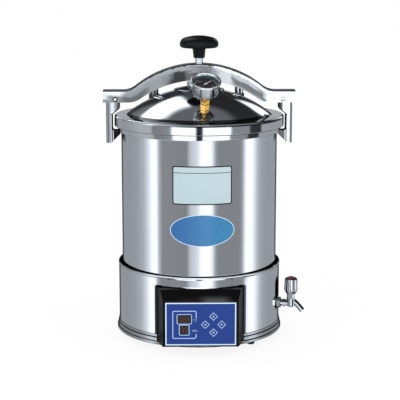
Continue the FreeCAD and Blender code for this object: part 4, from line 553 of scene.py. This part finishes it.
# Painted reflections in bands, by the way the surface faces, on gauge case, tap, valves, gauge union and base ring
CASE = make_banded(
    "gauge_chrome",
    [
        (-1.0, 0.35),
        (-0.86, 0.4),
        (-0.8, 0.85),
        (-0.5, 0.9),
        (-0.42, 0.45),
        (0.1, 0.62),
        (0.45, 0.7),
        (0.5, 0.05),
        (0.58, 0.05),
        (0.63, 1.0),
        (0.88, 0.95),
        (0.93, 0.12),
        (1.0, 0.1),
    ],
    (0.16, 0.22),
)
BANDED = make_banded(
    "banded_chrome",
    [
        (-1.0, 0.1),
        (-0.92, 0.5),
        (-0.76, 0.6),
        (-0.72, 0.04),
        (-0.6, 0.04),
        (-0.54, 0.95),
        (-0.1, 0.95),
        (0.22, 0.5),
        (0.28, 0.03),
        (0.46, 0.04),
        (0.52, 0.6),
        (0.8, 0.9),
        (0.9, 0.08),
        (1.0, 0.05),
    ],
    (0.06, 0.12),
    upward=[
        (-1.0, 0.2),
        (-0.6, 0.4),
        (-0.25, 0.45),
        (-0.08, 1.0),
        (0.2, 1.0),
        (0.3, 0.08),
        (0.7, 0.06),
        (0.8, 0.6),
        (0.95, 0.4),
        (1.0, 0.12),
    ],
)
VALVE = make_banded(
    "valve_chrome",
    [
        (-1.0, 0.03),
        (-0.62, 0.04),
        (-0.52, 0.95),
        (-0.2, 0.95),
        (-0.12, 0.05),
        (0.3, 0.06),
        (0.4, 0.8),
        (0.66, 0.9),
        (0.76, 0.04),
        (1.0, 0.03),
    ],
    (0.08, 0.14),
)
BRASS_BODY = make_banded(
    "banded_brass",
    [
        (-1.0, 0.1),
        (-0.8, 0.25),
        (-0.6, 1.0),
        (-0.45, 1.1),
        (-0.3, 0.4),
        (0.05, 0.95),
        (0.2, 0.3),
        (0.45, 0.35),
        (0.6, 0.9),
        (0.8, 0.2),
        (1.0, 0.08),
    ],
    (0.1, 0.18),
    (1.0, 0.58, 0.13),
    [(-1.0, 0.15), (-0.6, 0.3), (-0.52, 1.0), (-0.2, 1.0), (0.1, 0.5), (0.6, 0.9), (1.0, 0.9)],
)
# Base ring: painted shade in its grooves, set by faces that turn down or up
RING = make_banded(
    "ribbed_ring",
    [(-1.0, 0.6), (1.0, 0.6)],
    (0.12, 0.2),
    (0.85, 0.85, 0.86),
    [(-1.0, 0.05), (-0.3, 0.06), (-0.12, 0.9), (0.25, 1.0), (0.5, 0.15), (0.85, 0.1), (1.0, 0.5)],
)
# Plastics, rubber and prints
HOUSING = make_surface(
    "moulded_black", (0.003, 0.003, 0.0033), (0.0045, 0.0045, 0.005), 0.0, (0.24, 0.36), (1, 1, 1), 900, 0.05,
    0.00006, 0.07,
)
# Painted highlights on the sloped top of the housing, the left one reddish
paint_highlight_patch(HOUSING, (0.002, 0.05, 0.014), (0.1005, 0.111, 0.005), (0.07, 0.068, 0.072))
paint_highlight_patch(HOUSING, (-0.042, 0.004, 0.014), (0.102, 0.11, 0.005), (0.016, 0.008, 0.008))
KNOB = make_surface(
    "knob_black", (0.002, 0.002, 0.0022), (0.0035, 0.0035, 0.004), 0.0, (0.26, 0.4), (1, 1, 1), 700, 0.08,
    0.00006, 0.2,
)
RUBBER = make_surface(
    "foot_rubber", (0.015, 0.015, 0.015), (0.025, 0.025, 0.025), 0.0, (0.6, 0.8), (1, 1, 1), 500, 0.2
)
SILICONE = make_surface(
    "seal_silicone", (0.02, 0.02, 0.02), (0.03, 0.03, 0.03), 0.0, (0.45, 0.6), (1, 1, 1), 300, 0.1
)
FILM = make_surface(
    "panel_film", (0.006, 0.037, 0.225), (0.009, 0.044, 0.245), 0.0, (0.35, 0.45), (1, 1, 1), 1500, 0.03, 0.00003, 0.25
)
PRINT = make_surface(
    "printed_white", (0.66, 0.78, 0.95), (0.62, 0.75, 0.93), 0.0, (0.35, 0.45), (1, 1, 1), 900, 0.02
)
LINE = make_surface(
    "printed_line", (0.42, 0.6, 0.92), (0.38, 0.56, 0.9), 0.0, (0.35, 0.45), (1, 1, 1), 900, 0.02
)
SYMBOL = make_surface(
    "printed_pale", (0.42, 0.52, 0.78), (0.38, 0.48, 0.74), 0.0, (0.35, 0.45), (1, 1, 1), 900, 0.02
)
LENS = make_surface(
    "tinted_lens", (0.004, 0.003, 0.004), (0.008, 0.005, 0.006), 0.0, (0.12, 0.18), (1, 1, 1), 300, 0.0, 0.0002, 0.2
)
SEGMENT = make_surface(
    "unlit_segment", (0.13, 0.06, 0.055), (0.11, 0.05, 0.045), 0.0, (0.3, 0.4), (1, 1, 1), 800, 0.0, 0.0002, 0.2
)
BOARD = make_surface(
    "circuit_board", (0.02, 0.12, 0.05), (0.03, 0.16, 0.06), 0.0, (0.3, 0.45), (1, 1, 1), 400, 0.08
)
RED = make_surface(
    "cap_red", (0.2, 0.008, 0.03), (0.17, 0.006, 0.025), 0.0, (0.2, 0.3), (1, 1, 1), 500, 0.03
)
DIAL = make_surface(
    "dial_dark", (0.03, 0.018, 0.03), (0.04, 0.024, 0.038), 0.0, (0.4, 0.55), (1, 1, 1), 400, 0.03, 0.0002, 0.1
)
PALE = make_surface(
    "dial_print", (0.62, 0.62, 0.6), (0.56, 0.56, 0.54), 0.0, (0.4, 0.5), (1, 1, 1), 500, 0.0
)
PLATE = make_surface(
    "plate_field", (0.46, 0.58, 0.62), (0.5, 0.62, 0.66), 0.0, (0.3, 0.42), (1, 1, 1), 250, 0.02, 0.0002, 0.3
)
PLATE_EDGE = make_surface(
    "plate_edge", (0.01, 0.01, 0.012), (0.02, 0.02, 0.024), 0.0, (0.35, 0.45), (1, 1, 1), 400, 0.02, 0.0002, 0.2
)


def make_oval():
    """Glossy blue plate with painted light, lighter towards its right side."""
    material, tree_nodes, links = new_material("oval_blue")
    tree = material.node_tree
    shader = tree_nodes["Principled BSDF"]
    place = tree_nodes.new("ShaderNodeTexCoord")
    split = tree_nodes.new("ShaderNodeSeparateXYZ")
    links.new(place.outputs["Object"], split.inputs["Vector"])
    across = add_range(tree, split.outputs["X"], 0.0, 1.0, -0.05, 0.06)
    links.new(add_blend(tree, across, (0.032, 0.135, 0.37), (0.036, 0.225, 0.43)), shader.inputs["Base Color"])
    grain = add_noise(tree, add_coordinates(tree), 300)
    links.new(add_range(tree, grain, 0.2, 0.3), shader.inputs["Roughness"])
    return material


def make_glass():
    """Thin clear cover; the green of its edge is painted on the gauge case as a reflection."""
    material, tree_nodes, links = new_material("gauge_cover")
    tree = material.node_tree
    tree_nodes.remove(tree_nodes["Principled BSDF"])
    output = tree_nodes["Material Output"]
    clear = tree_nodes.new("ShaderNodeBsdfTransparent")
    clear.inputs["Color"].default_value = (0.97, 0.98, 0.98, 1)
    gloss = tree_nodes.new("ShaderNodeBsdfGlossy")
    gloss.inputs["Roughness"].default_value = 0.03
    mix = tree_nodes.new("ShaderNodeMixShader")
    mix.inputs["Fac"].default_value = 0.07
    links.new(clear.outputs[0], mix.inputs[1])
    links.new(gloss.outputs[0], mix.inputs[2])
    links.new(mix.outputs[0], output.inputs["Surface"])
    return material


OVAL = make_oval()
GLASS = make_glass()

FINISH = {
    MIRROR: ["barrel"],
    DOME: ["lid_dome"],
    SATIN: ["skirt"],
    RING: ["base_ring"],
    TRIM: ["window_trim"],
    RIM: ["barrel_flange", "lid_ring"],
    PAD: ["centre_pad"],
    INNER: [
        "base_plate",
        "vessel_cradle",
        "temperature_probe",
        "sieve_plate",
        "sterilizing_bucket",
        "bucket_bail",
        "drain_pipe",
    ],
    YOKE: ["yoke_beam"],
    HOOK_LEFT: ["hook_left"],
    HOOK_RIGHT: ["hook_right"],
    CASE: ["gauge_case"],
    BEZEL: ["gauge_bezel"],
    STEEL: ["yoke_nut", "exhaust_pin", "heater_terminals"],
    PIN: ["hook_pins"],
    CHROME: ["thrust_cup", "screw_retainer"],
    BANDED: [
        "tap_union",
        "tap_body",
        "tap_bonnet",
        "tap_handle",
    ],
    VALVE: ["safety_valve_body", "safety_valve_stem", "exhaust_valve_body", "exhaust_lever"],
    BRASS_BODY: ["gauge_union"],
    BRASS: ["heater_nuts", "tap_spindle", "tap_jumper", "inlet_blades", "bourdon_tube"],
    SHEATH: ["heater_element"],
    THREAD: ["clamp_screw"],
    HOUSING: ["control_housing", "power_inlet", "display_modules", "overheat_thermostat"],
    KNOB: ["clamp_knob"],
    RUBBER: ["rubber_feet"],
    SILICONE: ["lid_gasket"],
    FILM: ["control_film", "key_up", "key_left", "key_right", "key_down"],
    LENS: ["display_windows"],
    BOARD: ["control_board"],
    RED: ["tap_cap"],
    DIAL: ["gauge_dial"],
    PALE: ["gauge_pointer"],
    GLASS: ["gauge_glass"],
}
for material, names in FINISH.items():
    for name in names:
        data = nodes[name].data
        if not data.materials:
            data.materials.append(material)
        for index in range(len(data.materials)):
            data.materials[index] = material


# The yoke and the tap aren't mirrored in the lid and the skirt
QUIET = ("yoke_beam", "tap_body", "tap_bonnet", "tap_handle", "tap_cap", "tap_spindle", "tap_jumper")
for name in QUIET:
    nodes[name].visible_glossy = False

# Helpers for thin printed and applied pieces
def new_piece(name, vertices, faces, material, body, smooth=False):
    mesh = bpy.data.meshes.new(name)
    mesh.from_pydata([Vector(v) for v in vertices], [], faces)
    mesh.validate()
    piece = bpy.data.objects.new(name, mesh)
    bpy.context.scene.collection.objects.link(piece)
    mesh.materials.append(material)
    if smooth:
        for polygon in mesh.polygons:
            polygon.use_smooth = True
    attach(piece, body)
    return piece


def ribbon_faces(points, width, closed):
    """A flat line of one width with mitred corners, as 2-D vertices and faces."""
    count = len(points)
    sides = []
    for index in range(count):
        here = Vector(points[index])
        before = Vector(points[index - 1]) if closed or index else None
        after = Vector(points[(index + 1) % count]) if closed or index < count - 1 else None
        first = (here - before).normalized() if before is not None else (after - here).normalized()
        second = (after - here).normalized() if after is not None else first
        normal_one = Vector((-first.y, first.x))
        normal_two = Vector((-second.y, second.x))
        mitre = (normal_one + normal_two).normalized()
        reach = width / 2 / max(mitre.dot(normal_one), 0.3)
        sides.append((here + mitre * reach, here - mitre * reach))
    vertices = [corner for pair in sides for corner in pair]
    faces = []
    for index in range(count if closed else count - 1):
        following = (index + 1) % count
        faces.append((2 * index, 2 * index + 1, 2 * following + 1, 2 * following))
    return vertices, faces


def merge_flat(parts):
    """Several flat shapes as one list of vertices and faces."""
    vertices = []
    faces = []
    for part_vertices, part_faces in parts:
        start = len(vertices)
        vertices += part_vertices
        faces += [tuple(start + corner for corner in face) for face in part_faces]
    return vertices, faces


PANEL_Y = -178.6
KEY_Y = -178.9


def on_panel(name, parts, material, body="base", level=PANEL_Y, lift=0.06):
    """A printed shape on the front of the panel, from millimetres across and up."""
    vertices, faces = merge_flat(parts)
    placed = [(v[0] * MM, (level - lift) * MM, v[1] * MM) for v in vertices]
    return new_piece(name, placed, faces, material, body)


def frame_points(left, low, right, high, corner=0.0):
    """Corners of a rectangle with optional short bevels."""
    if not corner:
        return [(left, low), (right, low), (right, high), (left, high)]
    return [
        (left + corner, low),
        (right - corner, low),
        (right, low + corner),
        (right, high - corner),
        (right - corner, high),
        (left + corner, high),
        (left, high - corner),
        (left, low + corner),
    ]


def filled(points):
    return [Vector(p) for p in points], [tuple(range(len(points)))]


# Printed panel: border, bracket, window frames
on_panel("panel_border", [ribbon_faces(frame_points(-65.0, 22.2, 65.0, 102.3), 2.2, True)], PRINT)
bracket = [
    (-8.6, 73.5),
    (-8.6, 85.6),
    (-10.2, 87.2),
    (-50.8, 87.2),
    (-52.2, 85.8),
    (-52.2, 36.0),
    (-50.8, 34.6),
    (-11.4, 34.6),
    (-8.6, 37.4),
    (-8.6, 43.0),
]
on_panel("panel_bracket", [ribbon_faces(bracket, 1.5, False)], LINE)
windows = [
    ribbon_faces(frame_points(-44.2, 62.4, -17.1, 80.9, 1.4), 1.3, True),
    ribbon_faces(frame_points(-40.2, 40.9, -21.7, 60.3, 1.4), 1.3, True),
]
on_panel("window_frames", windows, LINE)

# Unlit seven-segment digits behind the tinted windows
SEGMENTS = (
    ((0, 0), (0, 1)),
    ((0, 1), (0, 2)),
    ((1, 0), (1, 1)),
    ((1, 1), (1, 2)),
    ((0, 0), (1, 0)),
    ((0, 1), (1, 1)),
    ((0, 2), (1, 2)),
)


def digit_parts(x, z, width, height):
    """The seven bars of one digit, with small gaps at their ends."""
    parts = []
    for first, last in SEGMENTS:
        start = Vector((x + first[0] * width, z + first[1] * height / 2))
        end = Vector((x + last[0] * width, z + last[1] * height / 2))
        along = (end - start).normalized() * 0.75
        parts.append(ribbon_faces([start + along, end - along], 1.15, False))
    return parts


digits = []
for column in range(3):
    digits += digit_parts(-40.9 + column * 7.9, 65.6, 4.4, 11.4)
for column in range(2):
    digits += digit_parts(-37.0 + column * 7.6, 44.8, 4.4, 11.4)
on_panel("digit_segments", digits, SEGMENT, level=-178.5, lift=0.04)


def add_text(name, words, size, material, body, matrix):
    curve = bpy.data.curves.new(name, "FONT")
    curve.body = words
    curve.size = size
    curve.align_x = "CENTER"
    curve.align_y = "CENTER"
    curve.extrude = 0.00002
    curve.materials.append(material)
    piece = bpy.data.objects.new(name, curve)
    bpy.context.scene.collection.objects.link(piece)
    piece.matrix_world = matrix
    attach(piece, body)
    return piece


def panel_matrix(x, z, level=PANEL_Y, lift=0.06):
    turn = Matrix.Rotation(math.radians(90), 4, "X")
    return Matrix.Translation((x * MM, (level - lift) * MM, z * MM)) @ turn


add_text("unit_degrees", "°C", 0.0062, SYMBOL, "base", panel_matrix(-10.6, 69.0))
add_text("unit_minutes", "MIN", 0.0056, SYMBOL, "base", panel_matrix(-11.4, 49.0))

# Diamond keys: white outline and a small plain arrow each
KEYS = {
    "up": (23.8, 76.7, 90),
    "left": (8.5, 61.2, 180),
    "right": (39.1, 61.2, 0),
    "down": (23.8, 45.7, -90),
}
for key, (x, z, turn) in KEYS.items():
    reach = 7.3
    diamond = [(x, z - reach), (x + reach, z), (x, z + reach), (x - reach, z)]
    on_panel(
        f"key_outline_{key}",
        [ribbon_faces(diamond, 1.15, True)],
        LINE,
        f"{key}_key",
        KEY_Y,
    )
    angle = math.radians(turn)
    arrow = []
    for along, across in ((2.6, 0.0), (-1.6, 2.3), (-1.6, -2.3)):
        arrow.append(
            (
                x + along * math.cos(angle) - across * math.sin(angle),
                z + along * math.sin(angle) + across * math.cos(angle),
            )
        )
    on_panel(f"key_arrow_{key}", [filled(arrow)], SYMBOL, f"{key}_key", KEY_Y)


# Two bare plates on the barrel
def plate_outline(half_angle, half_height, power, count=96):
    """A rounded outline in degrees across and millimetres up, from its centre."""
    points = []
    for index in range(count):
        angle = 2 * math.pi * index / count
        across = math.cos(angle)
        up = math.sin(angle)
        reach = (abs(across) ** power + abs(up) ** power) ** (1 / power)
        points.append((across / reach * half_angle, up / reach * half_height))
    return points


def on_barrel(point, centre_angle, centre_height, radius):
    angle = math.radians(centre_angle + point[0])
    return (
        radius * MM * math.sin(angle),
        -radius * MM * math.cos(angle),
        (centre_height + point[1]) * MM,
    )


def add_plate(name, centre, half_angle, half_height, power, radius, material, inner=None, rings=10):
    """A curved plate on the barrel, or only its edge where an inner outline is given."""
    outer = plate_outline(half_angle, half_height, power)
    count = len(outer)
    vertices = []
    shares = [index / rings for index in range(rings + 1)]
    for share in shares:
        for index, point in enumerate(outer):
            start = inner[index] if inner else (0.0, 0.0)
            mixed = (
                start[0] + (point[0] - start[0]) * share,
                start[1] + (point[1] - start[1]) * share,
            )
            vertices.append(on_barrel(mixed, centre[0], centre[1], radius))
    faces = []
    for ring in range(rings):
        for index in range(count):
            following = (index + 1) % count
            low = ring * count
            high = low + count
            faces.append((low + index, high + index, high + following, low + following))
    return new_piece(name, vertices, faces, material, "base", True)


RECT_CENTRE = (1.3, 319.4)
RECT_HALF = (21.4, 36.4)
add_plate("plate_field", RECT_CENTRE, *RECT_HALF, 80, 151.7, PLATE)
rect_inner = plate_outline(RECT_HALF[0] - 0.85, RECT_HALF[1] - 2.2, 80)
add_plate("plate_border", RECT_CENTRE, *RECT_HALF, 80, 151.76, PLATE_EDGE, rect_inner, 2)
OVAL_CENTRE = (1.4, 234.0)
add_plate("oval_plate", OVAL_CENTRE, 23.4, 30.6, 2, 151.7, OVAL)
oval_inner = plate_outline(22.9, 29.3, 2)
add_plate("oval_rim", OVAL_CENTRE, 23.4, 30.6, 2, 151.75, PRINT, oval_inner, 2)


def add_rule(name, height, half_angle, thickness, material):
    """A straight printed rule across the rectangular plate."""
    vertices = []
    faces = []
    steps = 24
    for index in range(steps + 1):
        across = -half_angle + 2 * half_angle * index / steps
        for side in (-0.5, 0.5):
            point = (across, height - RECT_CENTRE[1] + side * thickness)
            vertices.append(on_barrel(point, RECT_CENTRE[0], RECT_CENTRE[1], 151.78))
    for index in range(steps):
        faces.append((2 * index, 2 * index + 2, 2 * index + 3, 2 * index + 1))
    new_piece(name, vertices, faces, material, "base", True)


add_rule("plate_rule", 342.9, 20.4, 1.1, PLATE_EDGE)

# Gauge face: scale and numbers, square to the dome
DOME_RADIUS = 222.0903
DOME_CENTRE = 485.0 - DOME_RADIUS
TILT = math.asin(99.0 / DOME_RADIUS)
SWING = math.radians(-85.0)
gauge_turn = Matrix.Rotation(SWING, 4, "Z") @ Matrix.Rotation(TILT, 4, "Y")
gauge_place = (
    Matrix.Translation((0, 0, DOME_CENTRE * MM))
    @ gauge_turn
    @ Matrix.Translation((0, 0, DOME_RADIUS * MM))
)
DIAL_HEIGHT = 46.56
gauge_axis = gauge_turn @ Vector((0, 0, 1))
# Painted reflection of the cover's green edge, inside the gauge case
paint_glass_edge_reflection(CASE, (0, 0, DOME_CENTRE * MM), tuple(gauge_axis), 0.0234, 0.2675, (0.05, 0.17, 0.13))


def on_dial(name, parts, material, height=DIAL_HEIGHT):
    vertices, faces = merge_flat(parts)
    placed = [gauge_place @ Vector((v[0] * MM, v[1] * MM, height * MM)) for v in vertices]
    return new_piece(name, placed, faces, material, "lid")


ticks = []
for index in range(41):
    angle = math.radians(135 - 270 * index / 40)
    outer = 20.6
    inner = 17.6 if index % 5 == 0 else 19.0
    width = 0.7 if index % 5 == 0 else 0.4
    direction = Vector((math.cos(angle), math.sin(angle)))
    ticks.append(ribbon_faces([direction * inner, direction * outer], width, False))
arc = []
for index in range(61):
    angle = math.radians(135 - 270 * index / 60)
    arc.append(Vector((math.cos(angle), math.sin(angle))) * 20.8)
ticks.append(ribbon_faces(arc, 0.5, False))
on_dial("dial_scale", ticks, PALE)
for index in range(5):
    angle = math.radians(135 - 270 * index / 4)
    spot = Matrix.Translation((14.2 * MM * math.cos(angle), 14.2 * MM * math.sin(angle), DIAL_HEIGHT * MM))
    upright = Matrix.Rotation(math.radians(90), 4, "Z")
    add_text(
        f"dial_number_{index}",
        "0" if index == 0 else f"0.{index}",
        0.0042,
        PALE,
        "lid",
        gauge_place @ spot @ upright,
    )

# Floor and the studio that the metal mirrors
floor_mesh = bpy.data.meshes.new("floor")
floor_mesh.from_pydata([(-40, -40, 0), (40, -40, 0), (40, 40, 0), (-40, 40, 0)], [], [(0, 1, 2, 3)])
floor = bpy.data.objects.new("floor", floor_mesh)
bpy.context.scene.collection.objects.link(floor)
floor_material, floor_nodes, floor_links = new_material("floor_white")
floor_nodes.remove(floor_nodes["Principled BSDF"])
matt = floor_nodes.new("ShaderNodeBsdfDiffuse")
matt.inputs["Color"].default_value = (0.97, 0.97, 0.97, 1)
glow = floor_nodes.new("ShaderNodeEmission")
glow.inputs["Strength"].default_value = 1.0
seen = floor_nodes.new("ShaderNodeLightPath").outputs["Is Camera Ray"]
floor_mix = floor_nodes.new("ShaderNodeMixShader")
floor_links.new(add_math(floor_material.node_tree, "MULTIPLY", seen, 0.88), floor_mix.inputs[0])
floor_links.new(matt.outputs[0], floor_mix.inputs[1])
floor_links.new(glow.outputs[0], floor_mix.inputs[2])
floor_links.new(floor_mix.outputs[0], floor_nodes["Material Output"].inputs["Surface"])
floor_mesh.materials.append(floor_material)
floor.visible_glossy = False

studio_mesh = bpy.data.meshes.new("studio_walls")
shape = bmesh.new()
bmesh.ops.create_icosphere(shape, subdivisions=5, radius=9.0)
shape.to_mesh(studio_mesh)
shape.free()
studio = bpy.data.objects.new("studio_walls", studio_mesh)
bpy.context.scene.collection.objects.link(studio)
studio.visible_camera = False
studio.visible_diffuse = False
studio.visible_shadow = False
studio_material, studio_nodes, studio_links = new_material("studio_cards")
studio_tree = studio_material.node_tree
studio_nodes.remove(studio_nodes["Principled BSDF"])


place = studio_nodes.new("ShaderNodeTexCoord")
side, front, rise = split_vector(studio_tree, place.outputs["Object"])
toward = add_math(studio_tree, "MULTIPLY", front, -1.0)
turn = add_math(studio_tree, "ARCTAN2", side, toward)
azimuth = add_math(studio_tree, "MULTIPLY", turn, 180 / math.pi)
slope = add_math(studio_tree, "ARCSINE", add_math(studio_tree, "DIVIDE", rise, 9.0))
elevation = add_math(studio_tree, "MULTIPLY", slope, 180 / math.pi)

# Brightness of the cards by azimuth in degrees: 0 is the camera's side, + is to the right
RIM_CARDS = [
    (-152, 0.2),
    (-129, 0.36),
    (-104, 0.44),
    (-92, 0.52),
    (-73, 0.5),
    (-70, 0.25),
    (-56, 0.27),
    (-43, 0.33),
    (-39, 1.4),
    (-6.5, 1.4),
    (-4.5, 0.02),
    (3.5, 0.02),
    (5.5, 1.4),
    (43.5, 1.4),
    (47.5, 0.3),
    (73, 0.3),
    (77, 0.04),
    (94, 0.03),
    (98, 0.42),
    (129, 0.33),
    (152, 0.18),
]
WALL_CARDS = [
    (-159, 0.06),
    (-152, 0.36),
    (-125, 0.37),
    (-104, 0.42),
    (-90, 0.55),
    (-81, 0.88),
    (-75, 1.25),
    (-70, 1.45),
    (-66, 1.3),
    (-61.5, 0.55),
    (-56, 0.31),
    (-19, 0.285),
    (-13, 0.7),
    (-4, 0.88),
    (3.5, 1.4),
    (13.5, 1.4),
    (18, 1.1),
    (23, 0.4),
    (28, 0.29),
    (60, 0.29),
    (65, 0.42),
    (70, 1.1),
    (74.5, 1.45),
    (81, 1.4),
    (87, 1.05),
    (94, 0.62),
    (102, 0.45),
    (116, 0.385),
    (150, 0.37),
    (157, 0.06),
]
CORNICE_CARDS = [
    (-180, 0.03),
    (-163, 0.03),
    (-158, 0.15),
    (-145, 0.28),
    (-134, 0.25),
    (-120, 0.06),
    (-90, 0.4),
    (-60, 1.4),
    (-30, 1.6),
    (30, 1.6),
    (60, 1.4),
    (90, 0.3),
    (130, 0.04),
    (147, 0.08),
    (152, 1.5),
    (161, 1.5),
    (164, 0.03),
    (180, 0.03),
]
UPPER_CARDS = [
    (-180, 0.05),
    (-173, 0.1),
    (-169, 1.7),
    (-133, 1.7),
    (-128, 0.2),
    (-90, 0.3),
    (-30, 0.4),
    (0, 1.2),
    (30, 0.4),
    (90, 0.2),
    (126, 0.03),
    (180, 0.02),
]


def cards(stops):
    return add_ramp(studio_tree, azimuth, -180, 180, stops)


def stack(low, high, under, over):
    """Change from one band of cards to the next between two height angles."""
    return add_mix(studio_tree, add_smooth(studio_tree, elevation, low, high), under, over)


strength = stack(-54, -46, 0.75, cards(RIM_CARDS))
strength = stack(-19.8, -18.2, strength, cards(WALL_CARDS))
far = add_math(studio_tree, "ABSOLUTE", azimuth)
low_share = add_smooth(studio_tree, elevation, 2, 10)
far_share = add_smooth(studio_tree, elevation, 11, 16)
share = add_mix(studio_tree, add_smooth(studio_tree, far, 130, 145), low_share, far_share)
strength = add_mix(studio_tree, share, strength, cards(CORNICE_CARDS))
low_band = add_window(studio_tree, elevation, 4.5, 11.5, 1.5)
low_band = add_math(studio_tree, "MULTIPLY", add_smooth(studio_tree, far, 170, 174), low_band)
strength = add_mix(studio_tree, low_band, strength, 0.52)
left = add_math(studio_tree, "LESS_THAN", azimuth, 0.0)
lowered = add_math(studio_tree, "MULTIPLY_ADD", left, -5.0, elevation)
strength = add_mix(studio_tree, add_smooth(studio_tree, lowered, 29.0, 33.5), strength, cards(UPPER_CARDS))
strength = stack(56, 66, strength, 0.15)
emission = studio_nodes.new("ShaderNodeEmission")
emission.inputs["Color"].default_value = (0.96, 1.03, 1.11, 1)
studio_links.new(strength, emission.inputs["Strength"])
studio_links.new(emission.outputs[0], studio_nodes["Material Output"].inputs["Surface"])
studio_mesh.materials.append(studio_material)

# World: white to the camera, and a plain light from all round
world = bpy.data.worlds.new("studio_world")
bpy.context.scene.world = world
world.use_nodes = True
background = world.node_tree.nodes["Background"]
background.inputs["Color"].default_value = (1, 1, 1, 1)
background.inputs["Strength"].default_value = 1.0

# Soft lamps for the shape of the dull surfaces
LAMPS = {
    "key_lamp": ((-1.6, -2.2, 2.6), 1.6, 18.0),
    "fill_lamp": ((2.2, -1.8, 1.4), 1.4, 8.0),
}
for name, (spot, size, power) in LAMPS.items():
    light = bpy.data.lights.new(name, "AREA")
    light.size = size
    light.energy = power
    lamp = bpy.data.objects.new(name, light)
    bpy.context.scene.collection.objects.link(lamp)
    lamp.location = spot
    lamp.rotation_euler = (Vector((0, 0, 0.25)) - Vector(spot)).to_track_quat("-Z", "Y").to_euler()
    lamp.visible_glossy = False

# Camera at the photograph's place
camera_data = bpy.data.cameras.new("camera")
camera = bpy.data.objects.new("camera", camera_data)
bpy.context.scene.collection.objects.link(camera)
camera_data.sensor_width = 36.0
camera_data.lens = 36.0 * 1300 / 400
camera_data.shift_x = 0.9 / 400
camera_data.clip_end = 100.0
swing = math.radians(1.0)
camera.location = (-2.515 * math.sin(swing), -2.515 * math.cos(swing), 0.754)
camera.rotation_euler = (math.radians(90 - 11.04), 0, -swing)
bpy.context.scene.camera = camera

bpy.context.scene.view_settings.view_transform = "Standard"
